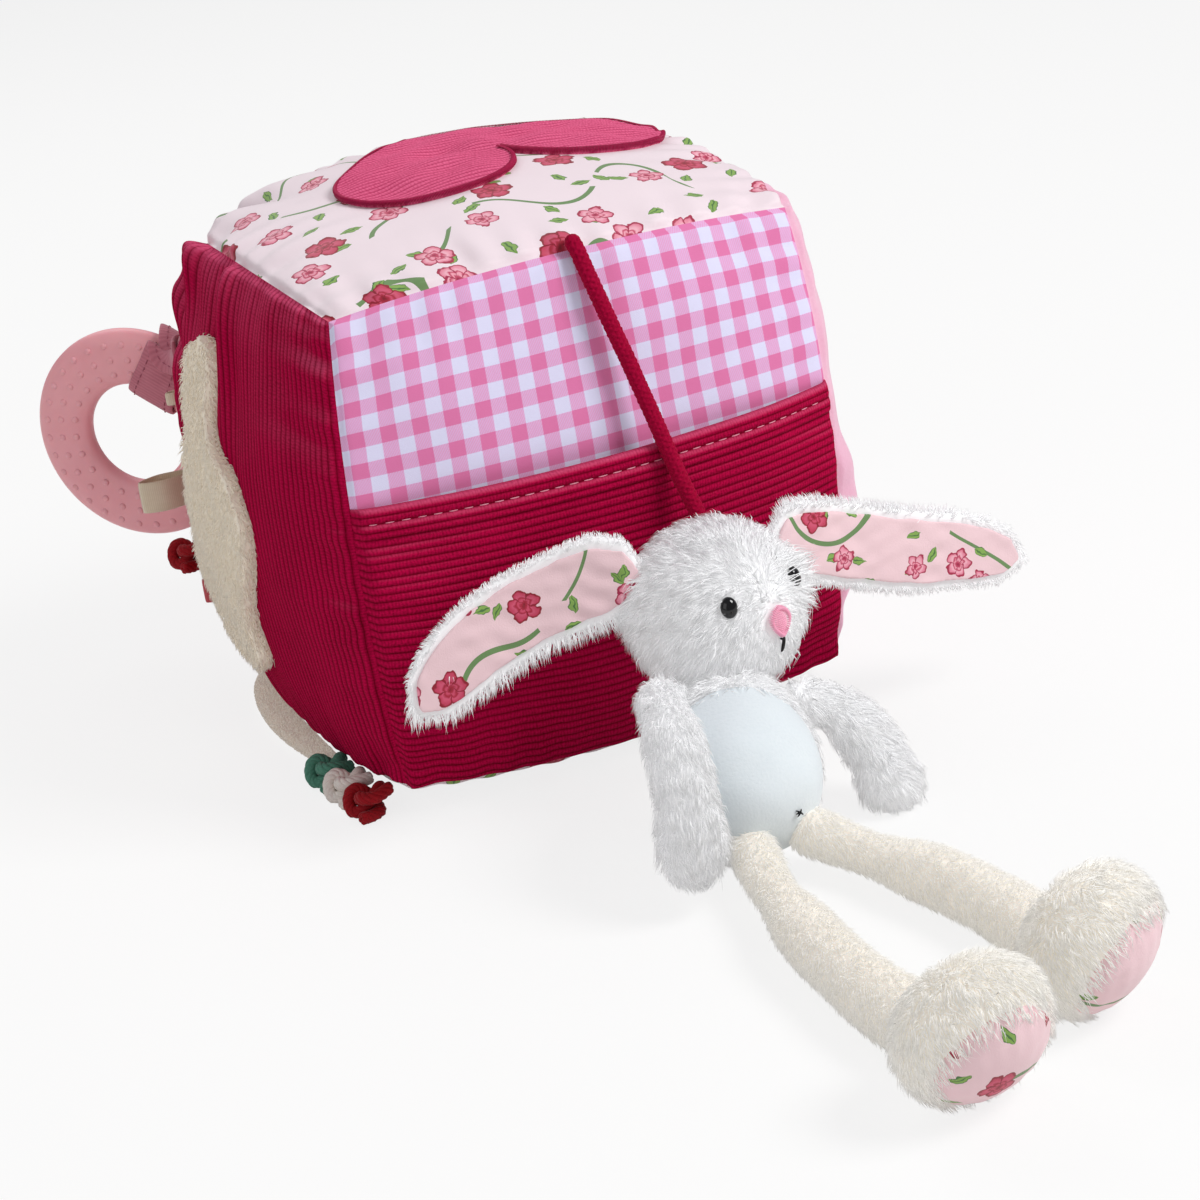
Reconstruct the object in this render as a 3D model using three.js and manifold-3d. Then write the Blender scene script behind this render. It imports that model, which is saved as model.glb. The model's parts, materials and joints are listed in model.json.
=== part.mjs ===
// A stuffed fabric activity block with trims sewn into its seams and a small plush rabbit on a cord.
// Millimetres, +Z up. The origin is the centre of the block's flat underside, on the surface that it
// rests on. The front, with the pocket, faces -Y, and +X is to its right.
import * as THREE from "three";
import { mergeVertices } from "three/addons/utils/BufferGeometryUtils.js";
import Module from "manifold-3d";

const wasm = await Module();
wasm.setup();

// Clearances
const seat_gap = 0.3; // between pieces that touch
const joint_gap = 0.35; // round a limb's root ball
const floor_gap = 0.4; // under soft pieces that lie on the floor

// Block: a cube sewn from six panels and stuffed until its sides swell
const block_edge = 140; // seam to seam
const cloth = 1.6; // a panel with its backing
const seam_bow = 3; // how far the middle of a seam swells past its corners
const front_crown = 9;
const back_crown = 11;
const left_crown = 14.5;
const right_crown = 11;
const top_crown = 10.5;
const bottom_crown = 5.5;
const rest_cut = 0.5; // depth of the flat that the block rests on
const corner_tuck = 2.5; // how far a sewn corner is drawn in
const gathered_tuck = 23; // the same where the seam is gathered, at the top back left
const panel_steps = 8;

// Front pocket
const pocket_height = 87.5; // from the bottom seam to the mouth
const pocket_bag = 5.2; // how far its mouth stands off the front
const hem_height = 8;
const hem_thickness = 0.6;

// Patches sewn on the top and the left side
const heart_lobe = 26;
const heart_length = 52; // from the cleft to the tip
const heart_turn = THREE.MathUtils.degToRad(192);
const heart_across = 13.5;
const heart_back = 4;
const heart_thickness = 1.4;
const rabbit_patch_height = 98;
const rabbit_patch_thickness = 3.5;

// Teether ring and the strap that holds it
const ring_outer = 34.6;
const ring_hole = 16.4;
const ring_half_thickness = 4;
const ring_sides = 10;
const ring_steps = 32;
const ring_yaw = THREE.MathUtils.degToRad(42); // how far it has turned from the back of the block
const ring_out = 10; // from the back left seam to the ring's middle, to the left
const ring_back = 32.5; // the same to the back
const ring_height = 73.5;
const ring_clearance = 0.8; // between the ring and the strap round it
const strap_lean = THREE.MathUtils.degToRad(33);
const strap_height = 104; // of the strap's root above the floor
const strap_width = 17;
const strap_root_width = 12;
const strap_thickness = 1.6;

// Ribbons in the back left seam
const ribbon_thickness = 0.7;
const loop_height = 63;
const loop_length = 20;
const loop_width = 10;
const loop_bulge = 3;
const tag_height = 28;
const tag_length = 8.5;
const tag_width = 8;
const tag_bulge = 1.3;
const end_height = 92;
const ribbon_off = seat_gap + ribbon_thickness; // from the seam to the middle of a loop's root
const end_off = 0.3; // the same for the short end, which lies closer in
const end_length = 7;
const end_width = 4;

// Knotted cords
const knot_cord = 2;
const knot_lobe = 1.75; // the size of one unit of the knot's loops
const knot_stem = 0.8; // from the seam to a knot
const back_knot_stem = 3.5;
const back_knot_height = 40;
const green_knot_place = -34.5; // along the bottom left seam
const white_knot_place = -48;
const red_knot_place = -61.5;

// Velour flap in the bottom left seam
const flap_front = -24;
const flap_back = 55;
const flap_reach = 11.5;
const flap_thickness = 3.6;
const flap_tooth = 0.8;
const flap_teeth = 18;

// Rabbit: the head and body
const head_radius = 22.5;
const head_height = 56;
const head_aside = 13;
const head_lean_gap = 0.3; // from the back of the head to the pocket
const head_yaw = THREE.MathUtils.degToRad(18);
const muzzle_share = 0.09;
const neck_radius = 8;
const neck_sink = 1.5; // how far the neck's middle lies inside the head
const torso_radius = 20.5;
const torso_length = 33; // from the neck's middle to the seat's middle
const belly_half_width = 18.5;
const belly_half_height = 25;
const belly_thickness = 1;
const navel_size = 1.6;

// Rabbit: the face
const eye_radius = 2.7;
const eye_shank = 1.1;
const eye_shank_length = 4;
const nose_width = 6.4;
const nose_height = 8.4;
const mouth_length = 4.6;
const mouth_width = 0.9;
const stitch_thickness = 0.9;

// Rabbit: the limbs and ears
const arm_length = 56;
const arm_root = 5;
const arm_radius = 6.3;
const paw_radius = 7.4;
const leg_reach = { left: 120, right: 105 }; // from the hip to the middle of the foot
const leg_root = 6;
const leg_radius = 7.4;
const foot_radius = 18.5;
const foot_half_depth = 13.5;
const foot_tip = THREE.MathUtils.degToRad(30); // how far the sole faces the floor
const sole_radius = 15.5;
const sole_thickness = 1;
const hip_stand_off = 3; // from the body's skin to a leg's pivot
const shoulder_stand_off = 5.1; // the same for an arm
const limb_gap = 0.8; // between an arm and the body that it lies on
const ear_run = 72; // how far an ear reaches sideways
const ear_width = 23;
const ear_root = 5.5;
const ear_full_share = 0.24; // of its length, from the root to its full width
const ear_taper = 0.42; // share of its width that it loses on the way to the tip
const ear_thickness = 2.6;
const ear_border = 2.4; // plush left round the lining
const lining_thickness = 1;
const lining_gap = 0.15; // more room for the lining where the ear curls

// Cord from the top front seam to the head
const tether_cord = 4;

// Places worked out from the sizes
const half_edge = block_edge / 2;
const block_middle = half_edge + seam_bow + bottom_crown - rest_cut;
const mitre_inset = seat_gap / Math.SQRT2;
const seam_reach = half_edge + seam_bow;
const tau = Math.PI * 2;

const at = (x, y, z) => new THREE.Vector3(x, y, z);
const x_way = at(1, 0, 0);
const y_way = at(0, 1, 0);
const z_way = at(0, 0, 1);
const block_centre = at(0, 0, block_middle);
const minus = (way) => way.clone().negate();
const along = (from, way, length) => from.clone().addScaledVector(way, length);

// Geometry with shared corners and nothing but positions.
function bare(geometry) {
  const copy = geometry.index ? geometry.toNonIndexed() : geometry.clone();
  copy.deleteAttribute("normal");
  copy.deleteAttribute("uv");
  return mergeVertices(copy, 1e-4);
}

// A closed geometry as a solid that can be joined and cut.
function solid(geometry) {
  const merged = bare(geometry);
  return new wasm.Manifold(
    new wasm.Mesh({
      numProp: 3,
      vertProperties: merged.attributes.position.array,
      triVerts: new Uint32Array(merged.index.array),
    }),
  );
}

// A solid's triangles as geometry again.
function geometry_of(made) {
  const mesh = made.getMesh();
  return new THREE.BufferGeometry()
    .setAttribute("position", new THREE.BufferAttribute(mesh.vertProperties, 3))
    .setIndex(new THREE.BufferAttribute(mesh.triVerts, 1));
}

function cut(geometry, ...tools) {
  return geometry_of(tools.reduce((left, tool) => left.subtract(solid(tool)), solid(geometry)));
}

function common(geometry, other) {
  return geometry_of(solid(geometry).intersect(solid(other)));
}

function from_corners(corners, triangles) {
  const positions = new Float32Array(corners.flatMap((corner) => corner.toArray()));
  return new THREE.BufferGeometry()
    .setAttribute("position", new THREE.BufferAttribute(positions, 3))
    .setIndex(triangles);
}

// A closed skin over rings that run along a form, each turning the right-hand way about its run.
// A ring of one point is a pole.
function skin(rings) {
  const corners = rings.flat();
  const triangles = [];
  let start = 0;
  for (let k = 0; k + 1 < rings.length; k += 1) {
    const here = rings[k].length;
    const there = rings[k + 1].length;
    const sides = Math.max(here, there);
    for (let i = 0; i < sides; i += 1) {
      const j = (i + 1) % sides;
      const near = here > 1 ? [start + i, start + j] : [start, start];
      const far = there > 1 ? [start + here + i, start + here + j] : [start + here, start + here];
      if (here > 1) triangles.push(near[0], near[1], far[1]);
      if (there > 1) triangles.push(near[0], far[1], far[0]);
    }
    start += here;
  }
  return from_corners(corners, triangles);
}

// A closed slab between two surfaces over the same grid: point(u, v, 0) outside, point(u, v, 1) inside.
function slab(us, vs, point) {
  const corners = [0, 1].flatMap((side) => vs.flatMap((v) => us.map((u) => point(u, v, side))));
  const width = us.length;
  const layer = width * vs.length;
  const triangles = [];
  const quad = (a, b, c, d) => triangles.push(a, b, c, a, c, d);
  for (let j = 0; j + 1 < vs.length; j += 1) {
    for (let i = 0; i + 1 < width; i += 1) {
      const a = j * width + i;
      quad(a, a + 1, a + width + 1, a + width);
      quad(layer + a, layer + a + width, layer + a + width + 1, layer + a + 1);
    }
  }
  for (let i = 0; i + 1 < width; i += 1) {
    const last = (vs.length - 1) * width + i;
    quad(i, layer + i, layer + i + 1, i + 1);
    quad(last, last + 1, layer + last + 1, layer + last);
  }
  for (let j = 0; j + 1 < vs.length; j += 1) {
    const left = j * width;
    const right = left + width - 1;
    quad(left, left + width, layer + left + width, layer + left);
    quad(right, layer + right, layer + right + width, right + width);
  }
  return from_corners(corners, triangles);
}

// Steps from -1 to 1 that crowd towards both ends, where a stuffed side curves most.
const crowded = (count) =>
  Array.from({ length: count + 1 }, (_, k) => Math.sin((k / count - 0.5) * Math.PI));
const even = (count) => Array.from({ length: count + 1 }, (_, k) => k / count);

// A stuffed side is highest in its middle and drops steeply at its seams; the underside is broader.
const pillow_share = (u, v) => ((1 - u * u) * (1 - v * v)) ** 0.75;
const broad_share = (u, v) => (1 - u ** 4) * (1 - v ** 4);

const sides = {
  front: { right: x_way, up: z_way, out: minus(y_way), crown: front_crown, rise: pillow_share },
  back: { right: minus(x_way), up: z_way, out: y_way, crown: back_crown, rise: pillow_share },
  left: { right: minus(y_way), up: z_way, out: minus(x_way), crown: left_crown, rise: pillow_share },
  right: { right: y_way, up: z_way, out: x_way, crown: right_crown, rise: pillow_share },
  top: { right: x_way, up: y_way, out: z_way, crown: top_crown, rise: pillow_share },
  bottom: { right: x_way, up: minus(y_way), out: minus(z_way), crown: bottom_crown, rise: broad_share },
};

// Draws a point of a skin near a corner in towards the middle of the block, more at the gathered
// corner. The skin reaches as far as its corners from the middle, each way.
function drawn_in(point, reach) {
  const [x, y, z] = point.toArray();
  const gathered = x < 0 && y > 0 && z > 0;
  const tuck = gathered ? gathered_tuck : corner_tuck;
  const nearness = Math.min((Math.abs(x * y * z) / reach ** 3) ** 3, 1);
  const inward = at(-Math.sign(x), -Math.sign(y), -Math.sign(z)).normalize();
  return point.addScaledVector(inward, tuck * nearness);
}

// The point of a side at u and v, from -1 to 1 across and up it, at a depth below the block's skin.
function side_point(side, u, v, depth, inset = 0) {
  const reach = half_edge - depth;
  const bow_u = 1 - u * u;
  const bow_v = 1 - v * v;
  const bow = seam_bow * (bow_u + bow_v - bow_u * bow_v);
  const swell = reach + bow + side.crown * side.rise(u, v);
  const flat = block_middle - depth;
  const out = side === sides.bottom ? Math.min(swell, flat) : swell;
  const point = at(0, 0, 0)
    .addScaledVector(side.right, u * (reach - inset + seam_bow * bow_v))
    .addScaledVector(side.up, v * (reach - inset + seam_bow * bow_u))
    .addScaledVector(side.out, out);
  return drawn_in(point, reach).add(block_centre);
}

// Points of the back left seam, by height, and of the bottom left seam, by place along it.
const back_seam = (height) => side_point(sides.left, -1, (height - block_middle) / half_edge, 0);
const low_seam = (place) => side_point(sides.left, -place / half_edge, -1, 0);

const panel_stations = crowded(panel_steps);

function panel(side) {
  const point = (u, v, inner) => side_point(side, u, v, inner * cloth, mitre_inset);
  return slab(panel_stations, panel_stations, point);
}

// The filling is one skin over the insides of the six panels.
function filling() {
  const depth = cloth + seat_gap;
  const corners = [];
  const triangles = [];
  for (const side of Object.values(sides)) {
    const start = corners.length;
    const width = panel_stations.length;
    for (const v of panel_stations) {
      for (const u of panel_stations) corners.push(side_point(side, u, v, depth));
    }
    for (let j = 0; j + 1 < width; j += 1) {
      for (let i = 0; i + 1 < width; i += 1) {
        const a = start + j * width + i;
        triangles.push(a, a + 1, a + width + 1, a, a + width + 1, a + width);
      }
    }
  }
  return bare(from_corners(corners, triangles));
}

// The pocket is sewn into the side and bottom seams and bags out towards its hemmed mouth.
function pocket() {
  const mouth = pocket_height / half_edge - 1;
  const hem = (pocket_height - hem_height) / half_edge - 1;
  const rows = panel_stations.filter((v) => v < hem).concat(hem, hem + hem_thickness / half_edge, mouth);
  const gap = (u, v) => {
    const below = (mouth - v) / (mouth + 1);
    return seat_gap + pocket_bag * (1 - u * u) * (1 - below ** 3);
  };
  const point = (u, v, inner) => {
    const fold = v > hem ? hem_thickness : 0;
    const stand_off = gap(u, v) + (inner ? 0 : cloth + fold);
    return side_point(sides.front, u, v, -stand_off, mitre_inset + stand_off);
  };
  return slab(panel_stations, rows, point);
}

// A patch of an outline's shape that follows the side it is sewn on.
function patch(side, outline, thickness) {
  const point = (u, v, inner) => side_point(side, u, v, inner ? -seat_gap : -seat_gap - thickness);
  const sheet = slab(panel_stations, panel_stations, point);
  const prism = new THREE.ExtrudeGeometry(outline, { depth: block_edge, bevelEnabled: false });
  const basis = new THREE.Matrix4().makeBasis(side.right, side.up, side.out);
  prism.applyMatrix4(basis.setPosition(block_centre));
  return common(sheet, prism);
}

const flat_shape = (points) => new THREE.Shape(points.map(({ x, y }) => new THREE.Vector2(x, y)));

// A heart: two round lobes that meet at the cleft, and straight sides that run to the tip.
function heart() {
  const opening = Math.atan2(heart_length, heart_lobe) * 2;
  const outline = new THREE.Shape();
  outline.absarc(-heart_lobe, 0, heart_lobe, 0, tau - opening, false);
  outline.lineTo(0, -heart_length);
  outline.absarc(heart_lobe, 0, heart_lobe, opening - Math.PI, Math.PI, false);
  const place = at(heart_across, heart_back, 0);
  const turned = (point) => at(point.x, point.y, 0).applyAxisAngle(z_way, heart_turn).add(place);
  return flat_shape(outline.getPoints(12).map(turned));
}

// A sitting rabbit seen from its side: places in shares of its height, the front of the block to the right.
const rabbit_outline_shares = [
  [-0.03, 0.52], [-0.09, 0.45], [-0.115, 0.33], [-0.125, 0.24], [-0.2, 0.14], [-0.3, 0], [-0.35, -0.16],
  [-0.42, -0.26], [-0.43, -0.34], [-0.36, -0.42], [-0.16, -0.48], [0.03, -0.48], [0.1, -0.43],
  [0.09, -0.33], [0.15, -0.2], [0.22, -0.08], [0.24, 0.04], [0.17, 0.14], [0.08, 0.22], [0.03, 0.29],
  [0.04, 0.38], [0.02, 0.48],
];

function rabbit_outline() {
  const places = rabbit_outline_shares.map(([across, up]) =>
    at(across, up, 0).multiplyScalar(rabbit_patch_height));
  const line = new THREE.CatmullRomCurve3(places, true);
  return flat_shape(line.getPoints(48).slice(0, -1));
}

// A flat band along points. The ways of its width, and its widths, are evenly spaced along it.
function band(points, width_ways, widths, thickness, steps) {
  const line = new THREE.CatmullRomCurve3(points);
  const rings = even(steps).map((u) => {
    const middle = line.getPointAt(u);
    const width_way = at(...["x", "y", "z"].map((axis) => spaced(width_ways.map((way) => way[axis]), u)));
    const face = line.getTangentAt(u).cross(width_way.normalize()).normalize();
    const half_width = spaced(widths, u) / 2;
    const corner = (across, over) =>
      along(along(middle, width_way, across * half_width), face, (over * thickness) / 2);
    return [corner(1, 1), corner(-1, 1), corner(-1, -1), corner(1, -1)];
  });
  return skin([[line.getPoint(0)], ...rings, [line.getPoint(1)]]);
}

// The value at u, from 0 to 1, of values spaced evenly, eased from each to the next.
function spaced(values, u) {
  const place = u * (values.length - 1);
  const index = Math.min(Math.floor(place), values.length - 2);
  const share = place - index;
  const eased = share * share * (3 - 2 * share);
  return values[index] + (values[index + 1] - values[index]) * eased;
}

// Places along a folded ribbon: shares of its length, of half its root's and of its bulge.
const loop_shares = [
  [0, -1, 0], [0.3, 0, -0.7], [0.7, 0, -1], [1, 0, 0], [0.7, 0, 1], [0.3, 0, 0.7], [0, 1, 0],
];

// A ribbon folded into a loop that stands out of the back left seam, with its width up the seam.
function seam_loop(height, length, width, bulge, stand_off) {
  const root = back_seam(height).add(at(-stand_off, seat_gap, 0));
  const half_root = ribbon_thickness / 2 + seat_gap / 2;
  const points = loop_shares.map(([out, tight, wide]) =>
    at(-out * length, tight * half_root + wide * bulge, 0).add(root));
  return band(points, [z_way, z_way], [width, width], ribbon_thickness, 16);
}

// The ring hangs behind the back left seam in an upright plane, turned round the corner.
const ring_way = at(Math.sin(ring_yaw), Math.cos(ring_yaw), 0);
const ring_level = at(Math.cos(ring_yaw), -Math.sin(ring_yaw), 0);
const ring_centre = at(-seam_reach - ring_out, seam_reach + ring_back, ring_height);
const strap_way = along(z_way.clone().multiplyScalar(Math.cos(strap_lean)), ring_level, Math.sin(strap_lean));

function teether_ring() {
  const middle = (ring_outer + ring_hole) / 2;
  const half_width = (ring_outer - ring_hole) / 2;
  const profile = Array.from({ length: ring_sides + 1 }, (_, k) => {
    const angle = (tau * (k % ring_sides)) / ring_sides;
    return new THREE.Vector2(
      middle + half_width * Math.cos(angle),
      ring_half_thickness * Math.sin(angle),
    );
  });
  return bare(new THREE.LatheGeometry(profile, ring_steps));
}

// The strap runs from the seam down the front of the ring, through its hole and back over it. It
// is flat across, so in the round hole its edges, not its middle, come near the ring.
function strap() {
  const over = ring_half_thickness + ring_clearance + strap_thickness / 2;
  const middle = (ring_outer + ring_hole) / 2;
  const hole_at_edge = Math.sqrt(ring_hole ** 2 - (strap_width / 2) ** 2);
  const wrap = middle - hole_at_edge + ring_clearance + strap_thickness / 2;
  const rim = ring_outer + ring_clearance + strap_thickness / 2;
  const round = even(6).map((u) => [middle - wrap * Math.sin(u * Math.PI), -over * Math.cos(u * Math.PI)]);
  const route = [
    [rim - over / 2, -over], ...round, [rim - over / 2, over], [rim + strap_thickness / 2, over * 0.3],
  ];
  const looped = route.map(([out, back]) => along(along(ring_centre, strap_way, out), ring_way, back));
  const off = strap_thickness / 2 + seat_gap;
  const root = (layer) =>
    back_seam(strap_height).add(at(-off - layer * (strap_thickness + seat_gap), off, 0));
  const across = ring_way.clone().cross(strap_way);
  const ways = [z_way, across, across, across, z_way];
  const widths = [strap_root_width, (strap_root_width + strap_width) / 2, strap_width];
  const both_widths = [...widths, widths[1], widths[0]];
  return band([root(1), ...looped, root(0)], ways, both_widths, strap_thickness, 32);
}

// A tube along points with round ends.
function cord(points, thickness, steps, sides_round) {
  const line = new THREE.CatmullRomCurve3(points);
  return limb(line, () => thickness / 2, steps, sides_round, 2);
}

// A soft tube round a curve: radius(u) is its radius along it, and both ends are round.
function limb(line, radius, steps, sides_round, dome_rings) {
  const frames = line.computeFrenetFrames(steps, false);
  const ring = (k, centre, size) =>
    Array.from({ length: sides_round }, (_, i) => {
      const angle = (tau * i) / sides_round;
      const across = along(centre, frames.normals[k], size * Math.cos(angle));
      return along(across, frames.binormals[k], size * Math.sin(angle));
    });
  const dome = (k, way) =>
    Array.from({ length: dome_rings }, (_, i) => {
      const angle = ((i + 1) / (dome_rings + 1)) * (Math.PI / 2);
      const size = radius(k / steps);
      const centre = along(line.getPointAt(k / steps), frames.tangents[k], way * size * Math.cos(angle));
      return ring(k, centre, size * Math.sin(angle));
    });
  const pole = (k, way) =>
    [along(line.getPointAt(k / steps), frames.tangents[k], way * radius(k / steps))];
  const body = even(steps).map((u, k) => ring(k, line.getPointAt(u), radius(u)));
  return skin([pole(0, -1), ...dome(0, -1), ...body, ...dome(steps, 1).reverse(), pole(steps, 1)]);
}

// An overhand knot in a short cord that leaves a seam. Its loops are a trefoil opened at one lobe,
// where the stem and the tail cross; the numbers are in units of the knot's lobe.
const knot_rise_share = 1.5;
const knot_open = 0.42;
const knot_turns = 24;
const knot_half_length = 2.74;
const knot_aside_share = 2.6; // of a lobe, from the stem to the knot's middle
const stem_cross_shares = { side: -3.1, out: -0.5, up: 1.5 };
const tail_cross_shares = { side: -3.1, out: 0.5, up: -1.5 };
const tail_end_shares = { side: -3.6, out: 2.2, up: -1.2 };

function knot_line(root, stem_length, height, out_way, up_way) {
  const side_way = out_way.clone().cross(up_way);
  const level = along(root, out_way, stem_length + knot_half_length * knot_lobe);
  const centre = along(level, side_way, knot_aside_share * knot_lobe).setZ(height);
  const place = ({ side, out, up }) =>
    centre.clone()
      .addScaledVector(side_way, side * knot_lobe)
      .addScaledVector(out_way, out * knot_lobe)
      .addScaledVector(up_way, up * knot_lobe);
  const loops = even(knot_turns).map((share) => {
    const turn = Math.PI + knot_open + share * (tau - 2 * knot_open);
    return place({
      side: Math.cos(turn) - 2 * Math.cos(2 * turn),
      out: Math.sin(turn) + 2 * Math.sin(2 * turn),
      up: -Math.sin(3 * turn) * knot_rise_share,
    });
  });
  const stem = along(root, out_way, stem_length / 3);
  const tail = [place(tail_cross_shares), place(tail_end_shares)];
  return [root, stem, place(stem_cross_shares), ...loops, ...tail];
}

// The least gap between the turns of a cord, measured on points along it.
function least_gap(points, thickness) {
  const line = new THREE.CatmullRomCurve3(points);
  const length = line.getLength();
  const places = line.getSpacedPoints(240);
  const apart = Math.ceil((places.length * thickness * 2) / length);
  let least = Infinity;
  places.forEach((place, k) =>
    places.slice(k + apart).forEach((other) => { least = Math.min(least, place.distanceTo(other)); }));
  return least - thickness;
}

// The flap leaves the bottom left seam and lies down to the floor beside it: rounded at its back
// end, drawn down to the front, with a pinked edge.
function flap() {
  const reach_share = (u) => Math.sqrt(Math.sin(Math.PI * u ** 0.62)) * (0.35 + 0.65 * u ** 0.6);
  const ends = seat_gap / (flap_back - flap_front);
  const stations = even(flap_teeth * 2).map((u) => THREE.MathUtils.clamp(u, ends, 1 - ends));
  const point = (u, v, under) => {
    const place = flap_front + u * (flap_back - flap_front);
    const seam = low_seam(place);
    const tooth = stations.indexOf(u) % 2 && v === 1 ? flap_tooth : 0;
    const out = seat_gap + v * (flap_reach * reach_share(u) + tooth);
    const top = seam.z - seat_gap + v * (flap_thickness + floor_gap - seam.z + seat_gap);
    return at(seam.x - out, place, under ? floor_gap : top);
  };
  return slab([1, 0.5, 0], stations, (v, u, under) => point(u, v, under));
}

// The front of the block is met by the head, so the rabbit's places start from the pocket's skin.
const head_out = seam_reach + front_crown * 0.9 + pocket_bag * 0.87 + seat_gap + cloth;
const head_centre = at(head_aside, -head_out - head_lean_gap - head_radius, head_height);
const face_way = at(Math.sin(head_yaw), -Math.cos(head_yaw), 0);
const ear_way = at(Math.cos(head_yaw), Math.sin(head_yaw), 0);

// A ball about a centre, with radius(way) as its reach in each direction, and its poles up and down.
function ball(centre, radius, around, up) {
  const rings = even(up).map((share) => {
    const fall = share * Math.PI;
    if (share === 0 || share === 1) {
      const way = at(0, 0, share === 0 ? -1 : 1);
      return [along(centre, way, radius(way))];
    }
    return Array.from({ length: around }, (_, i) => {
      const turn = (tau * i) / around;
      const way = at(Math.sin(fall) * Math.cos(turn), Math.sin(fall) * Math.sin(turn), -Math.cos(fall));
      return along(centre, way, radius(way));
    });
  });
  return skin(rings);
}

// The head is a little wider than tall and swells at the muzzle.
const muzzle_way = along(face_way, z_way, -0.18).normalize();

function head_reach(way) {
  const toward = Math.max(way.dot(muzzle_way), 0) ** 6;
  const wide = 1 + 0.05 * way.dot(ear_way) ** 2 - 0.03 * way.z ** 2;
  return head_radius * (wide + muzzle_share * toward);
}

const head_form = (growth) => ball(head_centre, (way) => head_reach(way) + growth, 20, 12);

// A cap of cloth on a form: what lies between the form and a larger one, inside a prism.
function cap(form, thickness, outline, centre, out_way, up_way, depth) {
  const prism = new THREE.ExtrudeGeometry(outline, { depth, bevelEnabled: false });
  const right_way = up_way.clone().cross(out_way);
  const basis = new THREE.Matrix4().makeBasis(right_way, up_way, out_way).setPosition(centre);
  return cut(common(form(seat_gap + thickness), prism.applyMatrix4(basis)), form(seat_gap));
}

function oval(half_width, half_height, points) {
  const curve = new THREE.EllipseCurve(0, 0, half_width, half_height, 0, tau);
  return new THREE.Shape(curve.getPoints(points).slice(0, -1));
}

// The up direction square to an out direction.
const square_up = (out_way) => along(z_way, out_way, -z_way.dot(out_way)).normalize();

// Neck, seat and the torso between them
const neck_way_shares = at(-0.15, -0.45, -0.88).normalize();
const neck = along(head_centre, neck_way_shares, head_radius - neck_sink);
const seat_height = torso_radius + floor_gap;
const seat_run = Math.sqrt(torso_length ** 2 - (neck.z - seat_height) ** 2);
const seat_way_shares = at(-0.4, -0.916, 0).normalize();
const seat = along(neck, seat_way_shares, seat_run).setZ(seat_height);
const torso_way = seat.clone().sub(neck).normalize();

// The torso's radius at places along it, in shares of its length and of its radius at the seat.
const torso_stations_shares = [[0.136, 0.32], [0.24, 0.63], [0.45, 0.83], [0.72, 0.95], [1, 1]];

const torso_sides = 16;

// The torso's radius at a share of the way from its neck to its seat.
function torso_size(share) {
  const next = Math.max(torso_stations_shares.findIndex(([station]) => station >= share), 1);
  const [[low, low_size], [high, high_size]] = torso_stations_shares.slice(next - 1, next + 1);
  const mix = Math.max((share - low) / (high - low), 0);
  return torso_radius * (low_size + (high_size - low_size) * mix);
}

function torso_form(growth) {
  const line = new THREE.LineCurve3(neck, seat);
  const frames = line.computeFrenetFrames(1, false);
  const ring = (centre, radius) =>
    Array.from({ length: torso_sides }, (_, i) => {
      const angle = (tau * i) / torso_sides;
      const across = along(centre, frames.normals[0], radius * Math.cos(angle));
      return along(across, frames.binormals[0], radius * Math.sin(angle));
    });
  const dome = (centre, radius, way, shares) =>
    shares.map((share) => {
      const angle = (share * Math.PI) / 2;
      return ring(along(centre, torso_way, way * radius * Math.cos(angle)), radius * Math.sin(angle));
    });
  const top = neck_radius + growth;
  const bottom = torso_radius + growth;
  const body = torso_stations_shares.map(([place, share]) =>
    ring(along(neck, torso_way, place * torso_length), share * torso_radius + growth));
  return skin([
    [along(neck, torso_way, -top)], ...dome(neck, top, -1, [0.33, 0.67, 1]), ...body,
    ...dome(seat, bottom, 1, [0.8, 0.6, 0.4, 0.2]), [along(seat, torso_way, bottom)],
  ]);
}

const belly_way = at(0.22, -0.86, 0.46).normalize();

function belly_panel() {
  const outline = oval(belly_half_width, belly_half_height, 20);
  return cap(torso_form, belly_thickness, outline, seat, belly_way, square_up(belly_way), torso_radius * 2);
}

// A round hollow for a root ball; its facets lie outside the ball with its gap.
function socket(centre, radius) {
  const facets = 16;
  const reach = (radius + joint_gap) / Math.cos(Math.PI / facets) ** 2;
  return new THREE.SphereGeometry(reach, facets, facets / 2 + 2).translate(...centre.toArray());
}

// A limb that starts in a round root at its pivot, narrows where it is sewn and swells again.
function plush_limb(points, sizes, steps, sides_round) {
  const line = new THREE.CatmullRomCurve3(points);
  return limb(line, (u) => spaced(sizes, u), steps, sides_round, 2);
}

// Pivots of the limbs: a way out from the middle of the body and a stand-off from its skin.
const hip_way_shares = { left: at(-0.33, -0.84, -0.44), right: at(0.42, -0.8, -0.44) };
const hips = {
  left: along(seat, hip_way_shares.left.normalize(), torso_radius + hip_stand_off),
  right: along(seat, hip_way_shares.right.normalize(), torso_radius + hip_stand_off),
};
const shoulder_shares = { left: 0.36, right: 0.27 }; // of the way from the neck to the seat
const shoulder_way_shares = { left: at(-0.86, 0.12, 0.42), right: at(0.95, -0.12, 0.1) };

function shoulder(name) {
  const share = shoulder_shares[name];
  const way = shoulder_way_shares[name].clone();
  way.addScaledVector(torso_way, -way.dot(torso_way)).normalize();
  const middle = along(neck, torso_way, torso_length * share);
  return along(middle, way, torso_size(share) + shoulder_stand_off);
}

const shoulders = { left: shoulder("left"), right: shoulder("right") };

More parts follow.
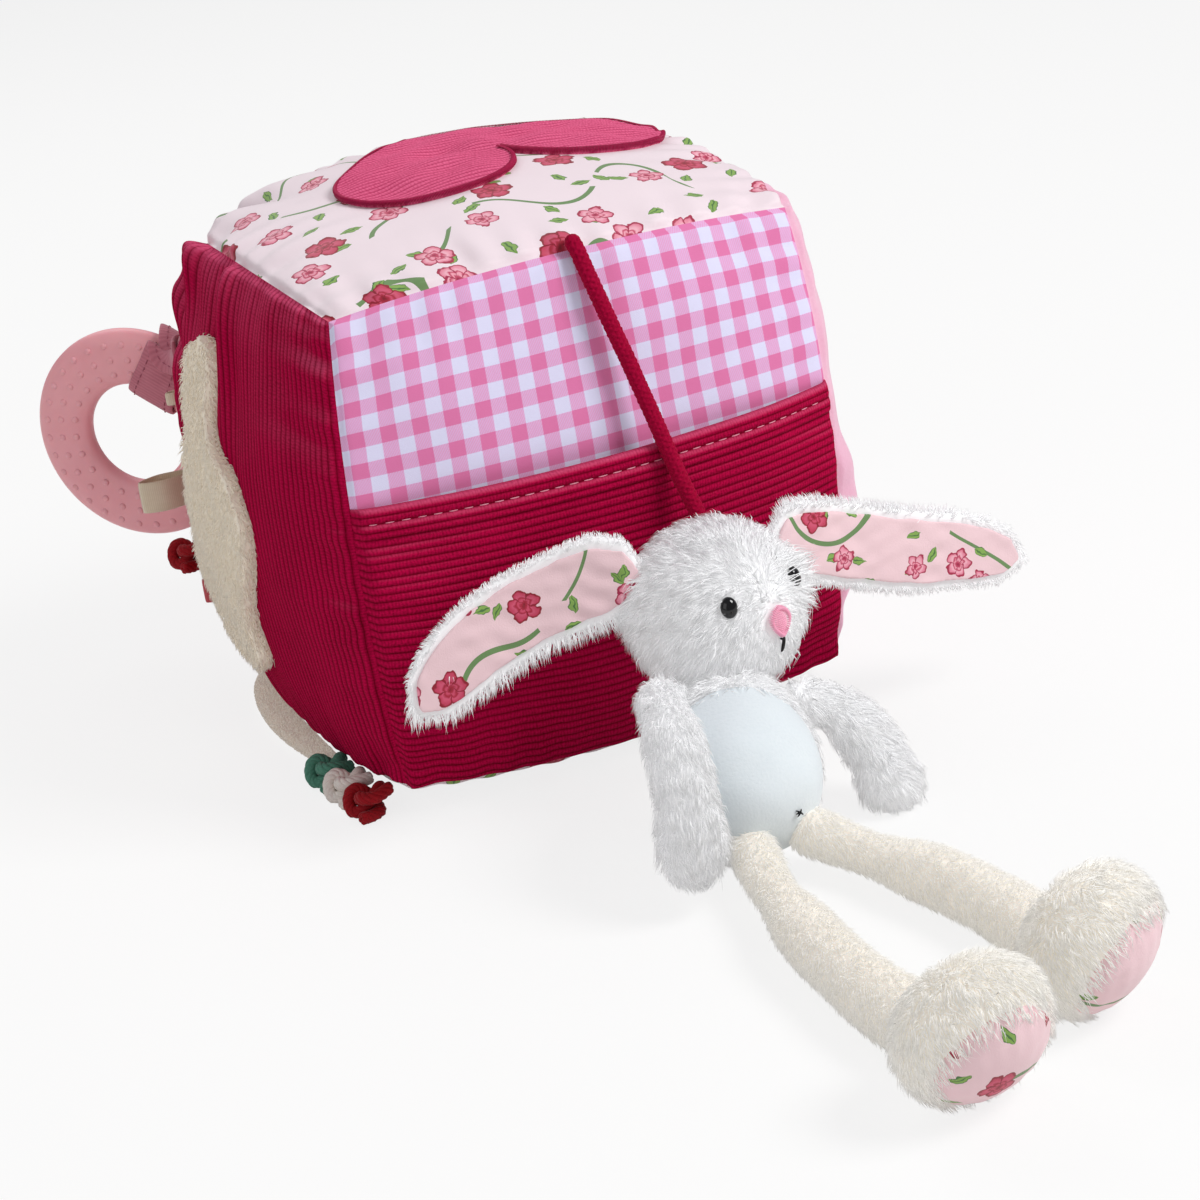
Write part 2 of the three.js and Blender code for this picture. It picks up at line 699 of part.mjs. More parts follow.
// Places along each arm from its pivot, in shares of the arm's length.
const arm_shares = {
  left: [
    [0, 0, 0], [-0.1, -0.2, 0.09], [-0.17, -0.44, 0.05], [-0.22, -0.64, -0.1],
    [-0.24, -0.7, -0.29], [-0.24, -0.69, -0.42],
  ],
  right: [[0, 0, 0], [0.14, -0.03, -0.06], [0.24, -0.08, -0.19], [0.29, -0.15, -0.31], [0.31, -0.22, -0.435]],
};
const arm_sizes = [arm_root, arm_root * 0.86, arm_radius, arm_radius, paw_radius];

// Moves a point out from the torso until a limb of a radius about it just clears the torso's skin.
function off_torso(point, radius) {
  const place = THREE.MathUtils.clamp(point.clone().sub(neck).dot(torso_way), 0, torso_length);
  const middle = along(neck, torso_way, place);
  const away = point.clone().sub(middle);
  const least = torso_size(place / torso_length) + radius + limb_gap;
  return away.length() < least ? along(middle, away.normalize(), least) : point;
}

function arm(name) {
  const pivot = shoulders[name];
  const points = arm_shares[name].map((share, k) => {
    const point = at(...share).multiplyScalar(arm_length).add(pivot);
    return k > 0 ? off_torso(point, spaced(arm_sizes, k / (arm_shares[name].length - 1))) : point;
  });
  return plush_limb(points, arm_sizes, 10, 12);
}

// Each foot is a flattened ball whose sole looks along sole_way; the leg droops to the floor between.
const foot_turn = { left: THREE.MathUtils.degToRad(6), right: THREE.MathUtils.degToRad(30) };
const leg_turn = { left: THREE.MathUtils.degToRad(-3), right: THREE.MathUtils.degToRad(10) };
const leg_bow_shares = { left: [-0.045, -0.035], right: [0.08, 0.065] };
const foot_rest = Math.hypot(foot_radius * Math.cos(foot_tip), foot_half_depth * Math.sin(foot_tip));

function sole_way(name) {
  const level = at(Math.sin(foot_turn[name]), -Math.cos(foot_turn[name]), 0);
  return along(level.multiplyScalar(Math.cos(foot_tip)), z_way, -Math.sin(foot_tip));
}

function foot_centre(name) {
  const way = at(Math.sin(leg_turn[name]), -Math.cos(leg_turn[name]), 0);
  return along(hips[name], way, leg_reach[name]).setZ(foot_rest + sole_thickness + seat_gap);
}

function foot_form(name, growth) {
  const way = sole_way(name);
  const squash = (direction) => {
    const deep = direction.dot(way);
    const flat = 1 - deep * deep;
    const reach = 1 / Math.sqrt(flat / foot_radius ** 2 + deep ** 2 / foot_half_depth ** 2);
    return reach + growth;
  };
  return ball(foot_centre(name), squash, 16, 10);
}

function leg(name) {
  const foot = foot_centre(name);
  const hip = hips[name];
  const [near_bow, far_bow] = leg_bow_shares[name];
  const place = (share, bow) =>
    hip.clone().lerp(foot, share).add(at(bow * leg_reach[name], 0, 0)).setZ(leg_radius * 1.1 + floor_gap);
  const ankle = hip.clone().lerp(foot, 0.9).setZ(leg_radius * 1.3);
  const points = [hip, place(0.14, near_bow / 2), place(0.42, near_bow), place(0.7, far_bow), ankle];
  const sizes = [leg_root, leg_root * 0.83, leg_radius, leg_radius, leg_radius * 1.1, leg_radius * 1.15];
  const whole = plush_limb(points, sizes, 14, 12);
  return cut(whole, foot_form(name, seat_gap));
}

function sole(name) {
  const way = sole_way(name);
  const form = (growth) => foot_form(name, growth);
  const outline = oval(sole_radius, sole_radius, 18);
  return cap(form, sole_thickness, outline, foot_centre(name), way, square_up(way), foot_radius * 2);
}

// Ears: curved leaves that lie on either side of the head, the plush behind and the lining in front.
const ear_pivot_shares = { left: at(-0.88, 0.2, 0.43).normalize(), right: at(0.93, 0.25, 0.25).normalize() };
const ear_shares = {
  left: [[0, 0, 0], [-0.14, 0.08, -0.025], [-0.37, 0.15, -0.1], [-0.59, 0.17, -0.21], [-0.8, 0.18, -0.38]],
  right: [[0, 0, 0], [0.25, 0.06, -0.09], [0.52, 0.08, -0.2], [0.8, 0.08, -0.28], [1.05, 0.07, -0.38]],
};
const ear_facing = at(-0.1, -0.97, 0.2).normalize();
const ear_steps = 12;

function ear_line(name) {
  const way = ear_pivot_shares[name];
  const back = along(head_centre, way, head_reach(way) + seat_gap);
  const pivot = along(back, way, ear_root);
  const points = ear_shares[name].slice(1).map((share) => at(...share).multiplyScalar(ear_run).add(pivot));
  return { pivot, line: new THREE.CatmullRomCurve3([back, pivot, ...points]) };
}

// Half the ear's width along it: round at the root, soon at its full width, and drawn in to the tip.
function ear_half_width(u, length, half, root) {
  const from_root = u * length;
  const to_tip = (1 - u) * length;
  const taper = 1 - ear_taper * Math.max(u / 0.5 - 1, 0) ** 2;
  const grown = (root + (half - root) * Math.sin((Math.min(u / ear_full_share, 1) * Math.PI) / 2)) * taper;
  const round = (distance, radius) =>
    distance >= radius ? 1 : Math.sqrt(1 - (1 - Math.max(distance, 0) / radius) ** 2);
  return Math.max(grown * round(from_root, root) * round(to_tip, half), ribbon_thickness);
}

// A leaf of the ear between two heights over its middle surface, from one share of its length to
// another. The leaf and its lining share their cross lines, so they stay parallel.
function ear_leaf(name, half, root, low, high, from, to) {
  const { line } = ear_line(name);
  const length = line.getLength();
  const stations = [from, ...even(ear_steps).filter((u) => u > from && u < to), to];
  const point = (t, u, inner) => {
    const middle = line.getPointAt(u);
    const tangent = line.getTangentAt(u);
    const side_way = tangent.clone().cross(ear_facing).normalize();
    const out_way = side_way.clone().cross(tangent);
    const run = (u - from) / (to - from);
    const across = t * ear_half_width(run, length * (to - from), half, root);
    return along(along(middle, side_way, across), out_way, inner ? low : high);
  };
  return slab([-1, -0.5, 0, 0.5, 1], stations, point);
}

const ear_back = (name) =>
  ear_leaf(name, ear_width / 2, ear_root, -ear_thickness / 2, ear_thickness / 2, 0, 1);

function ear_lining(name) {
  const low = ear_thickness / 2 + seat_gap + lining_gap;
  const border = ear_border / ear_run;
  const half = ear_width / 2 - ear_border;
  return ear_leaf(name, half, ear_root - ear_border / 2, low, low + lining_thickness, border, 1 - border);
}

// Eyes: a dome on a shank that sits in a hole in the head.
const eye_turn = THREE.MathUtils.degToRad(33);
const eye_lift = THREE.MathUtils.degToRad(18);

function eye_way(hand) {
  const turn = head_yaw + hand * eye_turn;
  return at(Math.sin(turn) * Math.cos(eye_lift), -Math.cos(turn) * Math.cos(eye_lift), Math.sin(eye_lift));
}

function eye(hand, growth) {
  const way = eye_way(hand);
  const dome = [0, 0.25, 0.5, 0.75, 1].map((share) => {
    const angle = (share * Math.PI) / 2;
    return [(eye_radius + growth) * Math.cos(angle), (eye_radius * 0.6 + growth) * Math.sin(angle)];
  });
  const profile = [
    [0, -eye_shank_length - growth], [eye_shank + growth, -eye_shank_length - growth],
    [eye_shank + growth, -growth], [eye_radius + growth, -growth], ...dome.slice(0, -1),
    [0, eye_radius * 0.6 + growth],
  ].map(([radius, height]) => new THREE.Vector2(radius, height));
  const turned = new THREE.Quaternion().setFromUnitVectors(y_way, way);
  const place = along(head_centre, way, head_radius * 1.02);
  const piece = new THREE.LatheGeometry(profile, 12);
  return bare(piece.applyQuaternion(turned).translate(...place.toArray()));
}

function head() {
  const pieces = [socket(neck, neck_radius), eye(-1, seat_gap), eye(1, seat_gap)];
  return cut(head_form(0), ...pieces);
}

// The nose is a rounded triangle, its point down.
function nose() {
  const outline = new THREE.Shape();
  const w = nose_width / 2;
  const h = nose_height / 2;
  outline.moveTo(0, h);
  outline.bezierCurveTo(w * 1.5, h * 1.1, w, -h * 0.2, 0, -h);
  outline.bezierCurveTo(-w, -h * 0.2, -w * 1.5, h * 1.1, 0, h);
  return face_cap(outline, stitch_thickness);
}

function face_cap(outline, thickness) {
  return cap(head_form, thickness, outline, head_centre, face_way, z_way, head_radius * 2);
}

function mouth() {
  const low = -nose_height / 2 - seat_gap - mouth_length;
  const high = low + mouth_length;
  const half = mouth_width / 2;
  const outline = flat_shape([at(-half, low, 0), at(half, low, 0), at(half, high, 0), at(-half, high, 0)]);
  return face_cap(outline, stitch_thickness * 0.7);
}

function navel() {
  const grown = (growth) => torso_form(growth + seat_gap + belly_thickness);
  const centre = along(seat, square_up(belly_way), -belly_half_height * 0.5);
  const outline = oval(navel_size / 2, navel_size, 8);
  const up_way = square_up(belly_way);
  return cap(grown, stitch_thickness * 0.6, outline, centre, belly_way, up_way, torso_radius * 2);
}

// The cord leaves the top front seam, lies down over the front and the pocket's hem, and ends on the
// back of the head.
const tether_route = [
  at(0.7, -74.7, 152.7), at(1, -76.4, 150.6), at(1.6, -77.9, 147), at(2.5, -79.4, 142.5),
  at(3.6, -80.9, 137.5), at(4.8, -82.3, 132), at(6.1, -83.7, 126.5), at(7.4, -85.2, 121),
  at(8.7, -86.8, 115), at(10, -88.4, 109), at(11.3, -89.9, 103), at(12.6, -91.2, 97),
  at(13.9, -92.5, 91), at(15.2, -93.8, 85.5), at(16.5, -95.1, 80.5), at(17.5, -96.3, 76.3),
];

const colours = {
  raspberry: 0xa80c40, gingham: 0xee9cc0, printed: 0xf3e6e8, fleece: 0xf4bfd6, cream: 0xd9d0bc,
  filling: 0xf2efe8, rose: 0xb5687a, ring: 0xe0929c, satin: 0xe6d9bd, coral: 0xc9505a, velour: 0xd8c9b4,
  dark_red: 0x8f0014, green: 0x4e7a64, white: 0xe6dada, plush: 0xf4f2ee, smooth: 0xf7f7f5, black: 0x111114,
  pink: 0xf58fb0,
};

const block = new THREE.Group();

// Adds a piece to the block under its name, in its own material.
function add(name, geometry, colour, roughness = 0.95) {
  const material = new THREE.MeshStandardMaterial({ color: colours[colour], roughness, metalness: 0 });
  const mesh = new THREE.Mesh(geometry, material);
  mesh.name = name;
  block.add(mesh);
  return mesh;
}

add("filling", filling(), "filling");
add("front_panel", panel(sides.front), "gingham");
add("back_panel", panel(sides.back), "raspberry");
add("left_panel", panel(sides.left), "raspberry");
add("right_panel", panel(sides.right), "fleece");
add("top_panel", panel(sides.top), "printed");
add("bottom_panel", panel(sides.bottom), "printed");
add("front_pocket", pocket(), "raspberry");
add("heart_patch", patch(sides.top, heart(), heart_thickness), "raspberry");
add("rabbit_patch", patch(sides.left, rabbit_outline(), rabbit_patch_thickness), "cream");

const ring = add("teether_ring", teether_ring(), "ring", 0.45);
ring.position.copy(ring_centre);
ring.rotation.z = -ring_yaw;
add("teether_strap", strap(), "rose");
add("ribbon_loop", seam_loop(loop_height, loop_length, loop_width, loop_bulge, ribbon_off), "satin", 0.4);
add("ribbon_end", seam_loop(end_height, end_length, end_width, tag_bulge, end_off), "satin", 0.4);
add("ribbon_tag", seam_loop(tag_height, tag_length, tag_width, tag_bulge, ribbon_off), "coral", 0.5);
add("velour_flap", flap(), "velour");

// A cord's round end starts just off the seam that it is sewn in.
const cord_off = knot_cord / 2 + seat_gap;
const back_root = back_seam(back_knot_height).add(at(-cord_off, cord_off / 2, 0));
const low_root = (place) => low_seam(place).add(at(-cord_off, 0, -cord_off / 2));
const knot_level = knot_rise_share * knot_lobe + knot_cord / 2 + floor_gap;
const knots = [
  ["red_knot_back", back_root, back_knot_stem, back_knot_height, "dark_red"],
  ["green_knot", low_root(green_knot_place), knot_stem, knot_level, "green"],
  ["white_knot", low_root(white_knot_place), knot_stem, knot_level, "white"],
  ["red_knot_front", low_root(red_knot_place), knot_stem, knot_level, "dark_red"],
];
for (const [name, root, stem_length, height, colour] of knots) {
  const points = knot_line(root, stem_length, height, minus(x_way), z_way);
  console.log(`${name}: least gap ${least_gap(points, knot_cord).toFixed(2)} mm`);
  add(name, cord(points, knot_cord, 40, 5), colour);
}

add("tether_cord", cord(tether_route, tether_cord, 24, 8), "raspberry");
add("head", head(), "plush");
const torso = cut(torso_form(0), ...["left", "right"].flatMap((name) =>
  [socket(hips[name], leg_root), socket(shoulders[name], arm_root)]));
add("torso", torso, "plush");
add("belly_panel", cut(belly_panel(), socket(hips.left, leg_root), socket(hips.right, leg_root)), "smooth");
add("navel_stitch", navel(), "black");
add("nose", nose(), "pink");
add("mouth_stitch", mouth(), "black");
for (const [name, hand] of [["left", -1], ["right", 1]]) {
  add(`eye_${name}`, eye(hand, 0), "black", 0.1);
  add(`ear_${name}`, ear_back(name), "plush");
  add(`ear_lining_${name}`, ear_lining(name), "printed");
  add(`arm_${name}`, arm(name), "plush");
  add(`leg_${name}`, leg(name), "plush");
  add(`foot_${name}`, foot_form(name, 0), "plush");
  add(`sole_${name}`, sole(name), "printed");
}

export default block;
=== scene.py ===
"""Looks of a stuffed fabric activity block and its plush rabbit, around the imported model.

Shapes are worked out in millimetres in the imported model's frame, where the origin is under the
middle of the block, the front faces -Y and +Z is up, and become metres when a mesh is made.
"""

import json
import logging
import math
from dataclasses import dataclass, field
from enum import Enum
from typing import Callable, Sequence, Union

import bmesh
import bpy
import numpy as np
from mathutils import Matrix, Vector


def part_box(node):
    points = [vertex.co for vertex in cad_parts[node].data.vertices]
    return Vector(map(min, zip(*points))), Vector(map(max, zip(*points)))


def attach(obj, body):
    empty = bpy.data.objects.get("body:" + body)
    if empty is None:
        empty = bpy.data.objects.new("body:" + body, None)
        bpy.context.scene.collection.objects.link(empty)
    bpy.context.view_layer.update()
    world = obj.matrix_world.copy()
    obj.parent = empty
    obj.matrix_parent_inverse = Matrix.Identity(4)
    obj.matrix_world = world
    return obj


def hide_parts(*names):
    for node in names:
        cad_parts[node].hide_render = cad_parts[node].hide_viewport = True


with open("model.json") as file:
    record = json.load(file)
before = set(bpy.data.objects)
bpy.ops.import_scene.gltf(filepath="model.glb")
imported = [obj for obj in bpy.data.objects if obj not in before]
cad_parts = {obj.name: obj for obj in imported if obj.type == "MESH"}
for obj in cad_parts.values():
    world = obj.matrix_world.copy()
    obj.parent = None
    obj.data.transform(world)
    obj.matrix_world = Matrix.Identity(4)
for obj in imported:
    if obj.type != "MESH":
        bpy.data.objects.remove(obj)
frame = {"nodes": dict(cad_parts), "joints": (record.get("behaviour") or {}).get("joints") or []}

log = logging.getLogger("activity_block")

Array = np.ndarray
Field = Callable[[Array], Array]  # a number, a way or a yes or no at each place
Socket = bpy.types.NodeSocket
Input = Union[Socket, float, str, Sequence[float], None]
MM = 0.001  # metres in a millimetre
CLOTH_MAP = "cloth"  # the UV map that holds places on the cloth, in millimetres
WAVE_SCALE = 0.314  # the scale at which a wave texture repeats once in a unit
JOINTS = {joint["name"]: joint for joint in frame["joints"]}


class Body(str, Enum):
    """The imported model's bodies that pieces ride on."""

    BLOCK = "block"
    TETHER = "tether"
    HEAD = "head"
    TORSO = "torso"
    STRAP = "ring_strap"
    RING = "ring"
    LOOP = "cream_loop"
    TAG = "coral_tag"
    FLAP = "flap"


class Knot(Enum):
    """The knotted cords: node, body, joint, cotton and how far the knot hangs from its seam."""

    BACK = ("red_knot_back", "back_knot", "back_knot_swing", "dark_red", 3.5)
    GREEN = ("green_knot", "green_knot", "green_knot_lift", "green", 0.8)
    WHITE = ("white_knot", "white_knot", "white_knot_lift", "white", 0.8)
    RED = ("red_knot_front", "red_knot", "red_knot_lift", "dark_red", 0.8)


# Numbers and curves


def unit(ways: Array) -> Array:
    """Vectors divided by their lengths."""
    return ways / np.maximum(np.linalg.norm(ways, axis=-1, keepdims=True), 1e-9)


def vec(*values: float) -> Array:
    """A vector as an array."""
    return np.array(values, float)


def alike(way: Array, count: int) -> Array:
    """One way, as many times as asked."""
    return np.tile(way, (count, 1))


def turns(count: int) -> Array:
    """Even angles round a full turn."""
    return np.linspace(0, 2 * math.pi, count, endpoint=False)


def crowded(count: int) -> Array:
    """Steps from -1 to 1 that lie closer together at both ends."""
    return np.sin(np.linspace(-0.5, 0.5, count) * math.pi)


def spread_out(shares: Array, angles: Array) -> tuple[Array, Array]:
    """A fan of shares and angles, rows by columns, whose first row stands twice."""
    share, angle = np.meshgrid(shares, angles, indexing="ij")
    return np.vstack([share[:1], share]), np.vstack([angle[:1], angle])


def apart(first: Array, second: Array) -> Array:
    """How far places lie from one another."""
    return np.linalg.norm(first - second, axis=-1)


def run_along(line: Array) -> Array:
    """How far along a line each of its points lies."""
    return np.concatenate([[0], np.cumsum(apart(line[1:], line[:-1]))])


def bell(x: Array, width: float, power: int = 2) -> Array:
    """1 where x is 0, falling smoothly to nothing some widths away."""
    return np.exp(-((x / width) ** power))


def grow(x: Array, width: float) -> Array:
    """0 where x is 0, rising to 1 some widths away."""
    return 1 - np.exp(-x / width)


def rounded(wave: Array, power: float) -> Array:
    """A sine or cosine whose rounds are made squarer by a power under 1."""
    return np.sign(wave) * abs(wave) ** power


def pivot(joint: str) -> Array:
    """Where a joint turns, in millimetres."""
    return np.array(JOINTS[joint]["pos_m"]) / MM


def centre_of(node: str) -> Array:
    """The middle of a CAD node's box, in millimetres."""
    low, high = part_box(node)
    return (np.array(low) + np.array(high)) / 2 / MM


def heading(turn: float, lift: float) -> Array:
    """The way to the front, turned right and lifted by angles in degrees."""
    turn, lift = math.radians(turn), math.radians(lift)
    return vec(math.sin(turn) * math.cos(lift), -math.cos(turn) * math.cos(lift), math.sin(lift))


def framed(way: Array) -> Array:
    """Right and up as seen from where a way points, and the way itself, as rows."""
    rise = unit(vec(0, 0, 1) - way * way[2])
    return np.stack([np.cross(rise, way), rise, way])


def brushed_along(*way: float) -> Field:
    """A comb that brushes pile one way everywhere."""

    def comb(places: Array) -> Array:
        """That way at each place."""
        return alike(vec(*way), len(places))

    return comb


def brushed_from(spot: Array, *drifts: Array) -> Field:
    """A comb that brushes pile away from a spot, with drifts added in turn."""

    def comb(places: Array) -> Array:
        """The way at each place."""
        return sum(drifts, unit(places - spot))

    return comb


def ease(low: float, high: float, x: Array) -> Array:
    """A smooth step that rises from 0 at low to 1 at high, as 3t^2 - 2t^3."""
    share = np.clip((x - low) / (high - low), 0, 1)
    return share * share * (3 - 2 * share)


def spaced(values: Sequence[float], share: Array) -> Array:
    """Eased values along a run: values stand at even steps, and share runs from 0 to 1."""
    table = np.asarray(values, float)
    place = np.clip(share, 0, 1) * (len(table) - 1)
    index = np.minimum(place.astype(int), len(table) - 2)
    part = place - index
    eased = part * part * (3 - 2 * part)
    mix = eased.reshape(eased.shape + (1,) * (table.ndim - 1))
    return table[index] * (1 - mix) + table[index + 1] * mix


def spline(points: Array, count: int) -> Array:
    """A centripetal Catmull-Rom curve through points, as count points at even steps along it.

    Args:
        points: the points to pass through, (n, 3).
        count: how many points to give back.

    Returns:
        The points along the curve, (count, 3).
    """
    ends = np.vstack([2 * points[0] - points[1], points, 2 * points[-1] - points[-2]])
    p0, p1, p2, p3 = ends[:-3], ends[1:-2], ends[2:-1], ends[3:]
    d0, d1, d2 = (np.linalg.norm(b - a, axis=1)[:, None] ** 0.5 for a, b in ((p0, p1), (p1, p2), (p2, p3)))
    t1 = ((p1 - p0) / d0 - (p2 - p0) / (d0 + d1) + (p2 - p1) / d1) * d1
    t2 = ((p2 - p1) / d1 - (p3 - p1) / (d1 + d2) + (p3 - p2) / d2) * d1
    t = np.linspace(0, 1, 24, endpoint=False)[None, :, None]
    p1, p2, t1, t2 = (x[:, None, :] for x in (p1, p2, t1, t2))
    fine = p1 + t * t1 + t**2 * (-3 * p1 + 3 * p2 - 2 * t1 - t2) + t**3 * (2 * p1 - 2 * p2 + t1 + t2)
    fine = np.vstack([fine.reshape(-1, 3), points[-1]])
    run = run_along(fine)
    even = np.linspace(0, run[-1], count)
    return np.stack([np.interp(even, run, fine[:, axis]) for axis in range(3)], axis=1)


def carried(points: Array) -> tuple[Array, Array, Array]:
    """Frames carried along a curve without twist: tangents, and two ways square to them."""
    tangents = unit(np.gradient(points, axis=0))
    normal = unit(np.cross(tangents[0], vec(0.3, 0.2, 0.93)))
    normals = []
    for tangent in tangents:
        normal = unit(normal - tangent * (normal @ tangent))
        normals.append(normal)
    across = np.array(normals)
    return tangents, across, np.cross(tangents, across)


@dataclass(frozen=True)
class Ripple:
    """Smooth seeded noise, about -1 to 1: a sum of sine waves in random directions."""

    wavelength: float
    seed: int
    waves: int = 10

    def over(self, points: Array) -> Array:
        """The noise at points of two or three coordinates."""
        rng = np.random.default_rng(self.seed)
        ways = unit(rng.normal(size=(self.waves, points.shape[-1])))
        rates = 2 * math.pi / self.wavelength * rng.uniform(0.6, 1.7, self.waves)
        phases = rng.uniform(0, 2 * math.pi, self.waves)
        return np.sin(points @ (ways * rates[:, None]).T + phases).sum(-1) / self.waves**0.5


# Surfaces and meshes


@dataclass
class Surface:
    """A mesh in the making: places in millimetres, faces, and places on the cloth."""

    places: Array
    quads: Array
    cloth: Array
    tris: Array = field(default_factory=lambda: np.zeros((0, 3), int))

    @staticmethod
    def grid(points: Array, cloth: Array | None = None, wrap: bool = False) -> "Surface":
        """A grid of points, (rows, columns, 3), whose faces look along columns x rows.

        Args:
            points: the grid's points.
            cloth: places on the cloth, (rows, columns, 2), or none.
            wrap: whether the last column joins the first.

        Returns:
            The surface.
        """
        rows, columns = points.shape[:2]
        index = np.arange(rows * columns).reshape(rows, columns)
        if wrap:
            index = np.concatenate([index, index[:, :1]], axis=1)
        quads = np.stack([index[:-1, :-1], index[:-1, 1:], index[1:, 1:], index[1:, :-1]], -1)
        cloth = np.zeros((rows, columns, 2)) if cloth is None else cloth
        return Surface(points.reshape(-1, 3), quads.reshape(-1, 4), cloth.reshape(-1, 2))

    @staticmethod
    def joined(parts: Sequence["Surface"]) -> "Surface":
        """Several surfaces as one."""
        starts = np.cumsum([0] + [len(part.places) for part in parts])[:-1]
        return Surface(
            np.vstack([part.places for part in parts]),
            np.vstack([part.quads + start for part, start in zip(parts, starts)]),
            np.vstack([part.cloth for part in parts]),
            np.vstack([part.tris + start for part, start in zip(parts, starts)]),
        )

    def crossed(self) -> Array:
        """Each face's diagonals crossed: its way out, twice its area long."""
        corners = self.places[self.quads]
        return np.cross(corners[:, 2] - corners[:, 0], corners[:, 3] - corners[:, 1])

    def normals(self) -> Array:
        """Each point's way out: the mean of its faces' ways."""
        faces = self.crossed()
        total = np.zeros_like(self.places)
        for k in range(4):
            np.add.at(total, self.quads[:, k], faces)
        return unit(total)

    def scattered(self, count: int, rng: np.random.Generator) -> tuple[Array, Array]:
        """Random points on the surface, even by area, with their ways out."""
        corners = self.places[self.quads]
        normals = self.normals()[self.quads]
        areas = np.linalg.norm(self.crossed(), axis=1)
        chosen = rng.choice(len(areas), count, p=areas / areas.sum())
        s, t = rng.uniform(size=(2, count))
        weights = np.stack([(1 - s) * (1 - t), s * (1 - t), s * t, (1 - s) * t], -1)[..., None]
        return (corners[chosen] * weights).sum(1), unit((normals[chosen] * weights).sum(1))

    def area(self) -> float:
        """Its area in square millimetres."""
        return float(np.linalg.norm(self.crossed(), axis=1).sum() / 2)


def piece(
    name: str, surface: Surface, material: bpy.types.Material, body: str, *nodes: str
) -> bpy.types.Object:
    """Makes a surface an object that rides on a body and stands for CAD nodes.

    Args:
        name: the piece's name.
        surface: its surface, in millimetres.
        material: its material.
        body: the body that it rides on.
        nodes: the CAD nodes that it stands for.

    Returns:
        The object.
    """
    mesh = bpy.data.meshes.new(name)
    mesh.from_pydata(surface.places * MM, [], surface.quads.tolist() + surface.tris.tolist())
    loops = np.empty(len(mesh.loops), np.int32)
    mesh.loops.foreach_get("vertex_index", loops)
    mesh.uv_layers.new(name=CLOTH_MAP).data.foreach_set("uv", surface.cloth[loops].astype(np.float32).ravel())
    mesh.shade_smooth()
    mesh.materials.append(material)
    made = bpy.data.objects.new(name, mesh)
    bpy.context.scene.collection.objects.link(made)
    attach(made, body)
    if nodes:
        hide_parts(*nodes)
    log.info("%s: %d faces on %s", name, len(mesh.polygons), body)
    return made


def tube(points: Array, radii: Array | float, sides: int, steps: int) -> Surface:
    """A round tube along a curve, closed by domed ends.

    Args:
        points: points that its middle passes through.
        radii: its radius, or radii at even steps along it.
        sides: how many sides it has.
        steps: how many steps its middle is cut into.

    Returns:
        The tube, with its run and its turn as places on the cloth.
    """
    line = spline(points, steps + 1)
    tangents, across, over = carried(line)
    share = np.linspace(0, 1, steps + 1)
    size = spaced(radii, share) if np.ndim(radii) else np.full(steps + 1, float(radii))
    angle = turns(sides)
    bend = np.linspace(0, math.pi / 2, 5, endpoint=False)[:, None, None]
    ring = np.cos(angle)[None, :, None] * across[:, None] + np.sin(angle)[None, :, None] * over[:, None]
    body = line[:, None] + ring * size[:, None, None]
    first = line[0] + size[0] * (np.sin(bend) * ring[0] - np.cos(bend) * tangents[0])
    last = line[-1] + size[-1] * (np.sin(bend) * ring[-1] + np.cos(bend) * tangents[-1])
    points = np.concatenate([first, body, last[::-1]])
    run = run_along(points.mean(1))
    turn = angle[None, :] * size.mean()
    return Surface.grid(points, np.stack(np.broadcast_arrays(run[:, None], turn), -1), wrap=True)


def threads(paths: Array, ups: Array, radius: float, sides: int = 5) -> Surface:
    """Short threads along paths, thinner at both ends.

    Args:
        paths: the threads' middles, (threads, points, 3).
        ups: a way square to each thread, (threads, 3).
        radius: the thread's radius.
        sides: how many sides a thread has.

    Returns:
        All the threads as one surface.
    """
    count, steps = paths.shape[:2]
    tangents = unit(np.gradient(paths, axis=1))
    across = unit(np.cross(tangents, ups[:, None]))
    over = np.cross(across, tangents)
    angle = turns(sides)[None, None, :, None]
    share = np.linspace(0, 1, steps)
    size = radius * (0.25 + 0.75 * np.sin(math.pi * share) ** 0.4)[None, :, None, None]
    rings = paths[:, :, None] + size * (np.cos(angle) * across[:, :, None] + np.sin(angle) * over[:, :, None])
    index = np.arange(count * steps * sides).reshape(count, steps, sides)
    index = np.concatenate([index, index[..., :1]], -1)
    quads = np.stack([index[:, :-1, :-1], index[:, :-1, 1:], index[:, 1:, 1:], index[:, 1:, :-1]], -1)
    cloth = np.zeros((count * steps * sides, 2))
    return Surface(rings.reshape(-1, 3), quads.reshape(-1, 4)[:, ::-1], cloth)


